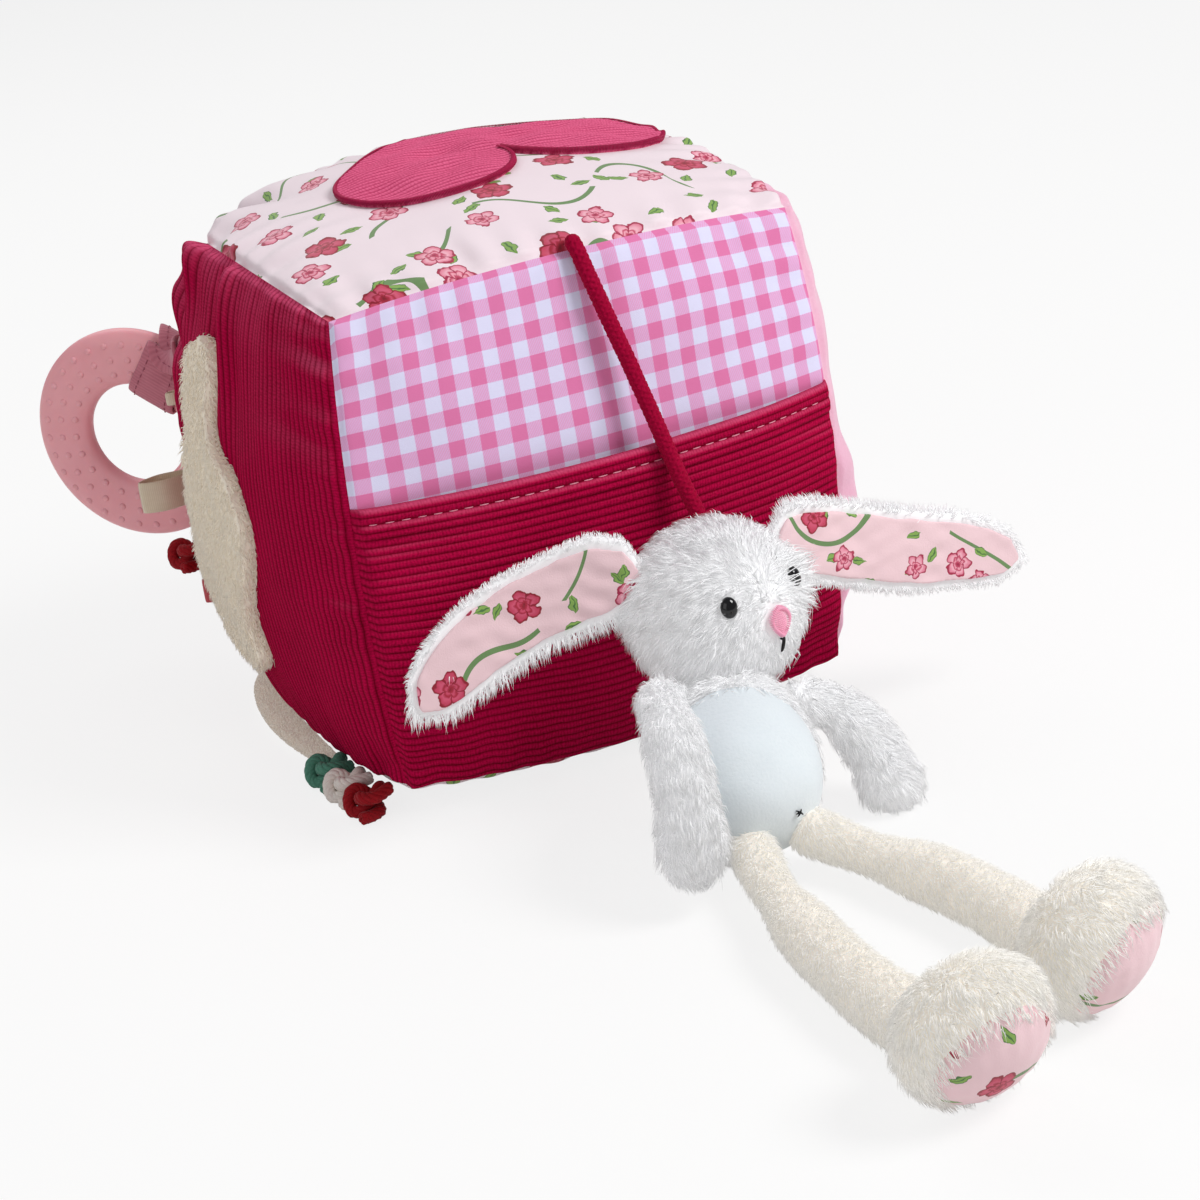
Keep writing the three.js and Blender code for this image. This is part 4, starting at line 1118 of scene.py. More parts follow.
    def panel(self, name: str, columns: int, rows: int, wales: bool = False) -> Surface:
        """A side's cloth, turned in along its seams.

        Args:
            name: the side.
            columns: how many steps it has across.
            rows: how many steps it has up.
            wales: whether it has upright corduroy wales.

        Returns:
            The cloth.
        """
        u, v = crowded(columns + 1), crowded(rows + 1)
        if wales:
            u = np.linspace(-1, 1, columns + 1)
        u, v = np.meshgrid(np.pad(u, 1, mode="edge"), np.pad(v, 1, mode="edge"))
        lift = np.zeros_like(u)
        lift[[0, -1], :] = lift[:, [0, -1]] = -self.turned_in
        cloth = np.stack([u, v], -1) * self.plan
        if wales:
            lift += self.wales(cloth[..., 0], (1 - np.maximum(abs(u), abs(v))) * self.half)
        return Surface.grid(self.at(name, u, v, lift), cloth)

    def pocket(self) -> Surface:
        """The pocket's cloth, up the outside to its folded mouth and a little way down inside."""
        mouth = self.mouth / self.half - 1
        rows = np.linspace(-1, mouth, 250)
        down = np.linspace(mouth, mouth - self.inside / self.half, 40)
        v = np.concatenate([rows[:1], rows, down])
        u = np.pad(crowded(97), 1, mode="edge")
        outer = np.arange(len(v)) <= len(rows)
        u, v = np.meshgrid(u, v)
        outer = np.broadcast_to(outer[:, None], u.shape)
        lift = self.pocket_lift(u, v) - np.where(outer, 0, self.cloth)
        edge = (1 - abs(u)) * self.half
        below = (mouth - v) * self.half
        hem = self.hem_rise * ease(self.hem + 0.8, self.hem - 0.4, below)
        hem -= self.stitch_dent * bell(below - self.stitch_drop, 1.0)
        lip = -self.lip_round * np.exp(-below / 0.5)
        relief = hem + lip + self.wales(v * self.plan, edge) * (1 - 0.4 * np.exp(-below / 2))
        lift = lift + np.where(outer, relief, 0)
        lift[0] = lift[:, 0] = lift[:, -1] = -self.turned_in / 2
        inset = np.maximum(lift, 0) - 0.25 * np.exp(-edge)
        cloth = np.stack([v, u], -1) * self.plan
        return Surface.grid(self.at("front", u, v, lift, inset), cloth)

    def pocket_lift(self, u: Array, v: Array) -> Array:
        """How far the pocket stands off the front: more at its mouth and its middle."""
        mouth = self.mouth / self.half - 1
        below = (mouth - v) / (mouth + 1)
        into_seam = np.minimum((1 - abs(u)), 1 + v) * self.half
        stand = 0.05 + (self.seat + self.cloth) * grow(into_seam, 1.3)
        return stand + self.bag * (1 - u * u) * (1 - below**3)

    def topstitch(self) -> Surface:
        """The row of stitches along the pocket's hem."""
        mouth = self.mouth / self.half - 1
        start = np.arange(-self.half + 3, self.half - 5, self.stitch_pitch)
        along = start[:, None] + np.linspace(0, self.stitch_length, 7)
        u = along / self.half
        v = np.full_like(u, mouth - self.stitch_drop / self.half)
        arch = 0.25 * np.sin(np.linspace(0, math.pi, 7))
        lift = self.pocket_lift(u, v) - 0.15 + arch
        paths = self.at("front", u, v, lift, lift + 0.3)
        return threads(paths, alike(vec(0, -1, 0), len(paths)), self.stitch_size)

    def on_side(self, name: str, flat: Array, lift: Array | float) -> Array:
        """Places on a side from places on a flat plan of it, as its seams bow."""
        u, v = flat[..., 0] / self.half, flat[..., 1] / self.half
        for _ in range(3):
            u, v = (
                flat[..., 0] / (self.half + self.bow * (1 - v * v)),
                flat[..., 1] / (self.half + self.bow * (1 - u * u)),
            )
        return self.at(name, u, v, lift)

    def filled(
        self, name: str, outline: Array, spine: Array, thickness: float, rings: int, axis: int,
        wale: float = 0.0,
    ) -> Surface:
        """A patch within an outline: rings that shrink to a spine, level but for a rounded rim.

        Args:
            name: the side that it is sewn on.
            outline: its outline on the side's plan, (n, 2).
            spine: the place that each point of the outline shrinks to, (n, 2).
            thickness: how thick it is.
            rings: how many rings it has.
            axis: which of the plan's axes its corduroy wales lie across.
            wale: from one wale to the next, or 0 for none.

        Returns:
            The patch.
        """
        share = 1 - np.linspace(0, 1, rings) ** 1.6
        share = np.concatenate([[1.0], share])[:, None, None]
        flat = spine + (outline - spine) * share
        rim = apart(flat, outline)
        lift = self.seat + thickness * np.sqrt(1 - (1 - np.minimum(rim / self.rim_round, 1)) ** 2)
        if wale:
            height, length, still = self.patch_swell
            swell = height * Ripple(length, 61).over(flat) * grow(rim, still)
            crest = np.sqrt(abs(np.sin(math.pi * flat[..., axis] / wale))) - 0.8
            lift += swell + self.wale_rise * crest * grow(rim, 1.5)
        lift[0] = -0.2
        cloth = np.stack([flat[..., axis], flat[..., 1 - axis]], -1)
        return Surface.grid(self.on_side(name, flat, lift), cloth, wrap=True)

    def heart_outline(self) -> tuple[Array, Array]:
        """The heart's outline, two round lobes and two straight sides, and the place inside it."""
        opening = 2 * math.atan2(self.heart_length, self.heart_lobe)
        left = np.linspace(0, 2 * math.pi - opening, 260)
        lobe = np.stack([np.cos(left) - 1, np.sin(left)], -1) * self.heart_lobe
        tip = vec(0, -self.heart_length)
        run = np.linspace(0, 1, 110)[1:, None]
        half = np.vstack([lobe, lobe[-1] + (tip - lobe[-1]) * run])
        outline = np.vstack([half, half[-2:0:-1] * vec(-1, 1)])
        inside = np.broadcast_to(vec(0, -15.0), outline.shape)
        angle = math.radians(self.heart_turn)
        turn = np.array([[math.cos(angle), math.sin(angle)], [-math.sin(angle), math.cos(angle)]])
        return outline @ turn + vec(*self.heart_place), inside @ turn + vec(*self.heart_place)

    def satin_edge(
        self, name: str, outline: Array, inner: Array, lift: float, pitch: float, size: float
    ) -> Surface:
        """Close zigzag stitches over a patch's edge.

        Args:
            name: the side that the patch is on.
            outline: the patch's outline.
            inner: places inside, whose middle tells which way is in.
            lift: how high the patch's face is.
            pitch: from one stitch to the next.
            size: the thread's radius.

        Returns:
            The stitches.
        """
        closed = np.vstack([outline, outline[:1]])
        run = run_along(closed)
        even = np.arange(0, run[-1], pitch)
        edge = np.stack([np.interp(even, run, closed[:, k]) for k in range(2)], -1)
        after = np.roll(edge, -1, axis=0) - edge
        square = unit(np.stack([-after[:, 1], after[:, 0]], -1))
        square *= np.sign(np.einsum("ij,ij->i", square, inner.mean(0) - edge))[:, None]
        share = np.linspace(0, 1, 6)[None, :, None]
        slant = self.satin_slant * after
        into, past = self.satin_reach
        start, end = edge + square * into - slant, edge - square * past + slant
        flat = start[:, None] + (end - start)[:, None] * share
        arch = self.satin_rise * np.sin(share[..., 0] * math.pi)
        height = lift + self.satin_rise + arch - 0.9 * share[..., 0] ** 3 * lift
        paths = self.on_side(name, flat, np.broadcast_to(height, flat.shape[:2]))
        return threads(paths, alike(SIDES[name].out, len(paths)), size)

    def rabbit_outline(self) -> tuple[Array, Array]:
        """The patch's sitting rabbit, seen from its side, and the spine inside it."""
        shares = [
            (-0.03, 0.52), (-0.09, 0.45), (-0.115, 0.33), (-0.125, 0.24), (-0.2, 0.14), (-0.3, 0),
            (-0.35, -0.16), (-0.42, -0.26), (-0.43, -0.34), (-0.36, -0.42), (-0.16, -0.48), (0.03, -0.48),
            (0.1, -0.43), (0.09, -0.33), (0.15, -0.2), (0.22, -0.08), (0.24, 0.04), (0.17, 0.14),
            (0.08, 0.22), (0.03, 0.29), (0.04, 0.38), (0.02, 0.48), (-0.03, 0.52),
        ]
        flat = np.array(shares) * self.rabbit_height
        line = spline(np.column_stack([flat, np.zeros(len(flat))]), 261)[:-1, :2]
        levels = vec(-0.44, -0.3, -0.1, 0.1, 0.25, 0.48) * self.rabbit_height
        middles = vec(-0.15, -0.14, -0.06, -0.02, -0.045, -0.03) * self.rabbit_height
        level = np.clip(line[:, 1], levels[0], levels[-1])
        return line, np.stack([np.interp(level, levels, middles), level], -1)

    def build(self) -> None:
        """Makes and dresses the block."""
        corduroy = Corduroy("raspberry_corduroy", wale=self.wale).build()
        printed = PrintedCotton("printed_cotton").build()
        panels = {
            "front": (Gingham("pink_gingham").build(), 150, 150, False),
            "back": (corduroy, 352, 96, True),
            "left": (corduroy, 352, 120, True),
            "right": (Nap("pink_fleece", "#F8C8DC", "#EBA6C2").build(), 120, 120, False),
            "top": (printed, 170, 170, False),
            "bottom": (printed, 110, 110, False),
        }
        for name, (material, columns, rows, wales) in panels.items():
            cloth = self.panel(name, columns, rows, wales)
            piece(name + "_cloth", cloth, material, Body.BLOCK, name + "_panel")
        core = Surface.joined([self.core(name) for name in SIDES])
        batting = Nap("polyester_batting", "#F6F3EE", "#E2DED6", grain=1.5).build()
        piece("stuffed_core", core, batting, Body.BLOCK, "filling")
        pocket = piece("pocket_cloth", self.pocket(), corduroy, Body.BLOCK, "front_pocket")
        thread = Strand("pink_thread", "#F4A8BC", "#DB7F98").build()
        piece("pocket_topstitch", self.topstitch(), thread, Body.BLOCK)
        outline, inner = self.heart_outline()
        heart = self.filled(
            "top", outline, inner, self.heart_thickness, rings=80, axis=1, wale=self.heart_wale
        )
        # the heart's cloth has painted shade in its valleys and no painted top light
        cord = Corduroy("heart_corduroy", crest="#EC6E96", valley="#B42C58", wale=self.heart_wale, nap=0.0)
        piece("heart_cloth", heart, cord.build(), Body.BLOCK, "heart_patch")
        edge = self.satin_edge("top", outline, inner, self.heart_thickness, pitch=0.42, size=0.2)
        satin = Strand("raspberry_thread", "#BC1452", "#8A0838", gloss=0.6).build()
        piece("heart_satin_stitch", edge, satin, Body.BLOCK)
        self.dress_rabbit()

    def core(self, name: str) -> Surface:
        """The stuffing's skin inside one side, below the deepest of the cloth's folds."""
        u, v = np.meshgrid(*(np.linspace(-1, 1, 41),) * 2)
        return Surface.grid(self.at(name, u, v, -self.core_depth - np.maximum(self.creases(name, u, v), 0)))

    def dress_rabbit(self) -> None:
        """The cream plush patch with its short pile and the stitches that hold it."""
        outline, spine = self.rabbit_outline()
        skin = self.filled("left", outline, spine, self.rabbit_thickness, rings=34, axis=0)
        skin.cloth[:] = 0.5
        pile = Pile(per_mm2=2.0, length=2.3, width=0.34, lean=0.62, lock=2.0, seed=5)
        furred = pile.over(skin, brushed_along(0, -0.35, -1))
        # the cream pile has a weaker painted glow and painted shade at its roots
        cream = Plush("cream_plush", tip="#F5ECDC", root="#D9CAB3", inner=0.11).build()
        piece("rabbit_patch_plush", furred, cream, Body.BLOCK, "rabbit_patch")
        edge = self.satin_edge("left", outline, spine, lift=1.0, pitch=1.5, size=0.22)
        piece("rabbit_patch_stitches", edge, Strand("cream_thread", "#EBE2CC", "#CFC2A4").build(), Body.BLOCK)


# Trims in the seams


def band(line: Array, ways: Array, widths: Array, thickness: float, sides: int = 20) -> Surface:
    """A flat band along a line: a rounded strip carried along it.

    Args:
        line: the band's middle, (steps, 3).
        ways: the way of its width at each step.
        widths: its width at each step.
        thickness: how thick it is.
        sides: how many points go round it.

    Returns:
        The band, with its run and its breadth as places on the cloth.
    """
    tangents = unit(np.gradient(line, axis=0))
    across = unit(ways - tangents * (ways * tangents).sum(-1, keepdims=True))
    over = np.cross(tangents, across)
    angle = turns(sides)
    wide, thick = rounded(np.cos(angle), 0.45), rounded(np.sin(angle), 0.8)
    flat = widths[:, None, None] / 2 * wide[None, :, None] * across[:, None]
    points = line[:, None] + flat + thickness / 2 * thick[None, :, None] * over[:, None]
    first, last = (np.broadcast_to(end, points[:1].shape) for end in (line[0], line[-1]))
    closed = np.concatenate([first, points, last])
    run = np.pad(run_along(line), 1, mode="edge")
    breadth = np.broadcast_to(wide * widths.mean() / 2, closed.shape[:2])
    return Surface.grid(closed, np.stack(np.broadcast_arrays(run[:, None], breadth), -1), wrap=True)


@dataclass(frozen=True)
class Teether:
    """The ring and the strap that holds it at the back left seam."""

    outer: float = 34.6  # the ring's radius, and its hole's
    hole: float = 16.4
    half_thickness: float = 4.0
    section: tuple[float, float] = (0.85, 0.8)  # powers that square its round section
    ring_steps: int = 180
    nub_rows: tuple[tuple[float, int], ...] = ((20.8, 22), (25.5, 26), (30.2, 31))  # radius and count
    nub_size: float = 1.15
    nub_rise: float = 0.65
    nub_sunk: float = 0.1
    clearance: float = 0.8  # between the ring and the strap
    lean: float = 33.0  # of the ring, in degrees from upright
    strap_height: float = 104.0  # where it leaves the seam, above the floor
    strap_width: float = 17.0
    root_width: float = 12.0
    thickness: float = 1.6
    stitch_inset: float = 2.6  # from the strap's edges
    stitch_size: float = 0.22

    def ring(self, centre: Array, way: Array) -> Surface:
        """A flat round ring with soft edges, and rows of nubs on both of its faces."""
        middle, half = (self.outer + self.hole) / 2, (self.outer - self.hole) / 2
        angle = turns(40)
        wide, tall = self.section
        out = middle + half * rounded(np.cos(angle), wide)
        high = self.half_thickness * rounded(np.sin(angle), tall)
        turn = np.linspace(0, 2 * math.pi, self.ring_steps + 1)[:, None]
        ring = np.stack(np.broadcast_arrays(out * np.cos(turn), out * np.sin(turn), high), -1)
        parts = [Surface.grid(ring[::-1], wrap=True)]
        fall = np.linspace(0, math.pi / 2, 5)[:, None, None]
        spin = turns(10)[None, :, None]
        for radius, count in self.nub_rows:
            edge = abs(radius - middle) / half
            level = self.half_thickness * (1 - edge ** (2 / wide)) ** (tall / 2) - self.nub_sunk
            for face in (-1, 1):
                around = (np.arange(count) + 0.5 * (radius > middle)) / count * 2 * math.pi
                at = radius * np.stack([np.cos(around), np.sin(around), 0 * around], -1)
                size = self.nub_size * np.cos(fall)
                dome = np.concatenate([size * np.cos(spin), size * np.sin(spin)], -1)
                rise = face * (level + self.nub_rise * np.sin(fall) * np.ones_like(spin))
                shape = np.concatenate([dome, rise], -1)[None] + at[:, None, None]
                parts += [Surface.grid(nub[::face], wrap=True) for nub in shape]
        whole = Surface.joined(parts)
        right = unit(np.cross(way, vec(0, 0, 1)))
        whole.places = centre + whole.places @ np.stack([right, np.cross(way, right), way])
        return whole

    def strap(self, centre: Array, way: Array) -> tuple[Surface, Surface]:
        """The strap's line from the seam through the ring and back, as a band, and its stitches."""
        level = vec(way[1], -way[0], 0)
        up = vec(0, 0, math.cos(math.radians(self.lean))) + level * math.sin(math.radians(self.lean))
        over = self.half_thickness + self.clearance + self.thickness / 2
        middle = (self.outer + self.hole) / 2
        wrap = middle - math.sqrt(self.hole**2 - (self.strap_width / 2) ** 2)
        wrap += self.clearance + self.thickness / 2
        rim = self.outer + self.clearance + self.thickness / 2
        turn = np.linspace(0, math.pi, 7)
        ends = [rim - over / 2, rim + self.thickness / 2]
        out = np.concatenate([ends[:1], middle - wrap * np.sin(turn), ends])
        back = np.concatenate([[-over], -over * np.cos(turn), [over, over * 0.3]])
        looped = centre + out[:, None] * up + back[:, None] * way
        seam = StuffedBlock().back_seam(self.strap_height)
        off = self.thickness / 2 + 0.3
        roots = [seam + vec(-off - layer * (self.thickness + 0.3), off, 0) for layer in (1, 0)]
        line = spline(np.vstack([roots[0], looped, roots[1]]), 121)
        share = np.linspace(0, 1, 121)
        across = np.cross(way, up)
        ways = unit(spaced([vec(0, 0, 1), across, across, across, vec(0, 0, 1)], share))
        wide = (self.root_width + self.strap_width) / 2
        widths = spaced([self.root_width, wide, self.strap_width, wide, self.root_width], share)
        cloth = band(line, ways, widths, self.thickness)
        tangents = unit(np.gradient(line, axis=0))
        breadth = unit(ways - tangents * (ways * tangents).sum(-1, keepdims=True))
        face = np.cross(tangents, breadth)
        rows = []
        for edge, side in ((-1, -1), (-1, 1), (1, -1), (1, 1)):
            row = line + edge * breadth * (widths[:, None] / 2 - self.stitch_inset)
            fine = spline(row + side * face * (self.thickness / 2 + 0.05), 301)
            rows.append(fine[np.arange(6, 290, 8)[:, None] + np.arange(6)])
        paths = np.vstack(rows)
        return cloth, threads(paths, alike(vec(0.3, 0.2, 0.9), len(paths)), self.stitch_size)

    def build(self) -> None:
        """Makes and dresses the ring and its strap."""
        centre, way = pivot("ring_turn"), unit(np.array(JOINTS["ring_turn"]["axis"], float))
        rubber = Moulded("pink_teether", "#FCB4BA", "#F4A4AD", gloss=0.42, depth=0.1).build()
        piece("ring_with_nubs", self.ring(centre, way), rubber, Body.RING, "teether_ring")
        cloth, stitches = self.strap(centre, way)
        tape = Ribbon("rose_tape", "#D07F8E", "#AC5C6C", rib=1.1, gloss=0.85).build()
        piece("strap_cloth", cloth, tape, Body.STRAP, "teether_strap")
        piece("strap_stitches", stitches, Strand("rose_thread", "#C47686", "#9C5064").build(), Body.STRAP)


@dataclass(frozen=True)
class SeamTrims:
    """Ribbons, the velour flap and the knotted cords along the left side's seams."""

    ribbon: float = 0.7  # its thickness
    seat: float = 0.3  # off the cloth behind
    cord: float = 2.0
    lobe: float = 1.75  # the size of a knot's loops
    knot_depth: float = 1.5  # how far a knot's loops pass over each other, in lobes
    knot_open: float = 0.42  # radians of the trefoil left open at each end
    knot_place: tuple[float, float] = (2.74, 2.6)  # its middle past the stem and aside, in lobes
    back_knot_height: float = 40.0
    rope_share: float = 1.8  # the laid rope's thickness against its solid's
    rope_strands: int = 5
    rope_lay: float = 9.0  # along the rope in one turn of a strand
    flap_front: float = -24.0  # both of its ends, along Y
    flap_back: float = 55.0
    flap_reach: float = 11.5
    flap_thickness: float = 3.6
    floor_gap: float = 0.4

    def loop(self, height: float, length: float, width: float, bulge: float, off: float) -> Surface:
        """A ribbon folded into a loop that stands out of the back left seam.

        Args:
            height: of its root above the floor.
            length: how far it stands out.
            width: the ribbon's width.
            bulge: how far each half swells aside.
            off: from the seam to the middle of its root.

        Returns:
            The ribbon.
        """
        root = StuffedBlock().back_seam(height) + vec(-off, self.seat, 0)
        out = vec(0, 0.3, 0.7, 1, 0.7, 0.3, 0)
        parted, bulged = vec(-1, 0, 0, 0, 0, 0, 1), vec(0, -0.7, -1, 0, 1, 0.7, 0)
        half = self.ribbon / 2 + self.seat / 2
        points = np.stack([-out * length, parted * half + bulged * bulge, 0 * out], -1)
        line = spline(root + points, 61)
        return band(line, alike(vec(0, 0, 1), 61), np.full(61, width), self.ribbon)

    def flap(self) -> Surface:
        """A pad of cloth from the bottom left seam down to the floor, round at its back end."""
        u, v = np.meshgrid(np.linspace(0.004, 0.996, 140), np.linspace(0, 1, 26))
        share = np.sqrt(np.sin(math.pi * u**0.62)) * (0.35 + 0.65 * u**0.6)
        place = self.flap_front + u * (self.flap_back - self.flap_front)
        block = StuffedBlock()
        seam = block.at("left", -place / block.half, np.full_like(place, -1.0), 1.0)
        ripple = 0.35 * Ripple(9, 3).over(np.stack([place, 8 * v], -1)) * v
        out = self.seat + v * self.flap_reach * share
        top = seam[..., 2] - self.seat + v * (self.flap_thickness + self.floor_gap - seam[..., 2] + self.seat)
        round_edge = np.sqrt(np.maximum(1 - v**6, 0)) * np.sqrt(np.maximum(np.sin(math.pi * u), 0)) ** 0.4
        mid = self.floor_gap + (top - self.floor_gap) * 0.45
        half = (top - self.floor_gap) * 0.5 * round_edge
        upper = np.stack([seam[..., 0] - out, place, mid + half + ripple * round_edge], -1)
        lower = np.stack([seam[..., 0] - out, place, np.maximum(mid - half, self.floor_gap)], -1)
        return Surface.grid(np.concatenate([lower, upper[::-1]]))

    def knot_line(self, root: Array, stem: float, height: float) -> Array:
        """An overhand knot in a cord that leaves a seam: a trefoil opened at one lobe.

        Args:
            root: where the cord leaves the seam.
            stem: how far the knot is from there.
            height: of the knot's middle above the floor.

        Returns:
            Points along the cord.
        """
        out, up = vec(-1, 0, 0), vec(0, 0, 1)
        side = np.cross(out, up)
        past, aside = self.knot_place
        centre = root + out * (stem + past * self.lobe) + side * aside * self.lobe
        centre[2] = height
        ways = np.stack([side, out, up]) * self.lobe
        turn = math.pi + self.knot_open + np.linspace(0, 1, 25) * (2 * math.pi - 2 * self.knot_open)
        loops = np.stack(
            [
                np.cos(turn) - 2 * np.cos(2 * turn),
                np.sin(turn) + 2 * np.sin(2 * turn),
                -self.knot_depth * np.sin(3 * turn),
            ],
            axis=-1,
        )
        tail = centre + np.array([[-3.1, 0.5, -1.5], [-3.6, 2.2, -1.2]]) @ ways
        first = centre + vec(-3.1, -0.5, 1.5) @ ways
        return np.vstack([root, root + out * stem / 3, first, centre + loops @ ways, tail])

    def rope(self, points: Array, thickness: float, strands: int, lay: float) -> Surface:
        """A laid cord: strands wound round a line, each a tube of half its thickness.

        Args:
            points: the line's points.
            thickness: the cord's thickness.
            strands: how many strands it has.
            lay: the length of one turn of a strand.

        Returns:
            The strands.
        """
        line = spline(points, 361)
        _, across, over = carried(line)
        run = run_along(line)
        parts = []
        for k in range(strands):
            turn = 2 * math.pi * (run / lay + k / strands)
            wound = np.cos(turn)[:, None] * across + np.sin(turn)[:, None] * over
            parts.append(tube(line + wound * thickness * 0.26, thickness * 0.27, 8, 300))
        rope = Surface.joined(parts)
        rope.places[:, 2] = np.maximum(rope.places[:, 2], 0.2)
        return rope

    def build(self) -> None:
        """Makes and dresses the ribbons, the flap and the knots."""
        cream = Ribbon("cream_satin", "#E9DCC3", "#CDBB9B", gloss=0.35).build()
        coral = Ribbon("coral_grosgrain", "#D4565E", "#A83A44", rib=0.9, gloss=0.6).build()
        off = self.seat + self.ribbon
        ribbon = self.loop(height=63, length=20, width=10, bulge=3, off=off)
        piece("cream_ribbon", ribbon, cream, Body.LOOP, "ribbon_loop")
        ribbon = self.loop(height=92, length=7, width=4, bulge=1.3, off=self.seat)
        piece("cream_ribbon_end", ribbon, cream, Body.BLOCK, "ribbon_end")
        ribbon = self.loop(height=28, length=8.5, width=8, bulge=1.3, off=off)
        piece("coral_ribbon", ribbon, coral, Body.TAG, "ribbon_tag")
        pile = Pile(per_mm2=3.0, length=1.3, width=0.4, lean=0.6, lock=1.6, seed=9)
        velour = Plush("beige_velour", tip="#F3ECE2", root="#D6C8B6").build()
        flap = pile.over(self.flap(), brushed_along(-1, -0.5, -0.2))
        piece("flap_velour", flap, velour, Body.FLAP, "velour_flap")
        cottons = {
            "dark_red": Strand("dark_red_cotton", "#B40E1E", "#78040E").build(),
            "green": Strand("green_cotton", "#64A08A", "#3C735E").build(),
            "white": Strand("white_cotton", "#FBF5EE", "#E3D8CF").build(),
        }
        low = self.knot_depth * self.lobe + self.cord / 2 + self.floor_gap
        for knot in Knot:
            node, body, joint, cotton, stem = knot.value
            line = self.knot_line(pivot(joint), stem, self.back_knot_height if knot is Knot.BACK else low)
            rope = self.rope(line, self.rope_share * self.cord, self.rope_strands, self.rope_lay)
            piece(node + "_strands", rope, cottons[cotton], body, node)


# The cord and the rabbit


@dataclass(frozen=True)
class TetherCord:
    """The soft braided cord from the top front seam to the head."""

    diameter: float = 0.004
    route: tuple[tuple[float, float, float], ...] = (
        (0.0007, -0.0747, 0.1527), (0.0010, -0.0764, 0.1506), (0.0016, -0.0779, 0.1470),
        (0.0025, -0.0794, 0.1425), (0.0036, -0.0809, 0.1375), (0.0048, -0.0823, 0.1320),
        (0.0061, -0.0837, 0.1265), (0.0074, -0.0852, 0.1210), (0.0087, -0.0868, 0.1150),
        (0.0100, -0.0884, 0.1090), (0.0113, -0.0899, 0.1030), (0.0126, -0.0912, 0.0970),
        (0.0139, -0.0925, 0.0910), (0.0152, -0.0938, 0.0855), (0.0165, -0.0951, 0.0805),
        (0.0175, -0.0963, 0.0763),
    )
    strands: int = 5
    lay: float = 9.0  # millimetres along the cord in one turn of a strand
    sides: int = 60
    steps: int = 560
    relief: float = 0.09  # how far a strand stands over the rest, as a share of the radius

    def build(self) -> None:
        """A tube whose skin rises where strands wound both ways pass over one another."""
        radius = self.diameter / MM / 2
        points = np.array(self.route) / MM
        skin = tube(points, radius * 1.1, self.sides, self.steps)
        middle = tube(points, 0.01, self.sides, self.steps).places
        run, turn = skin.cloth[:, 0], skin.cloth[:, 1] / (radius * 0.93)
        wound = 2 * math.pi * run / self.lay
        left, right = np.cos(self.strands * (turn + wound)), np.cos(self.strands * (turn - wound))
        over = np.maximum(left, right) * self.relief - 0.05 + 0.03 * Ripple(1.2, 4).over(skin.places)
        skin.places += unit(skin.places - middle) * (radius * over)[:, None]
        cotton = Strand("raspberry_cord", "#B8083F", "#7E0322", gloss=0.9, lustre=0.05, fuzz=0.05).build()
        cord = piece("tether_braid", skin, cotton, Body.TETHER, "tether_cord")


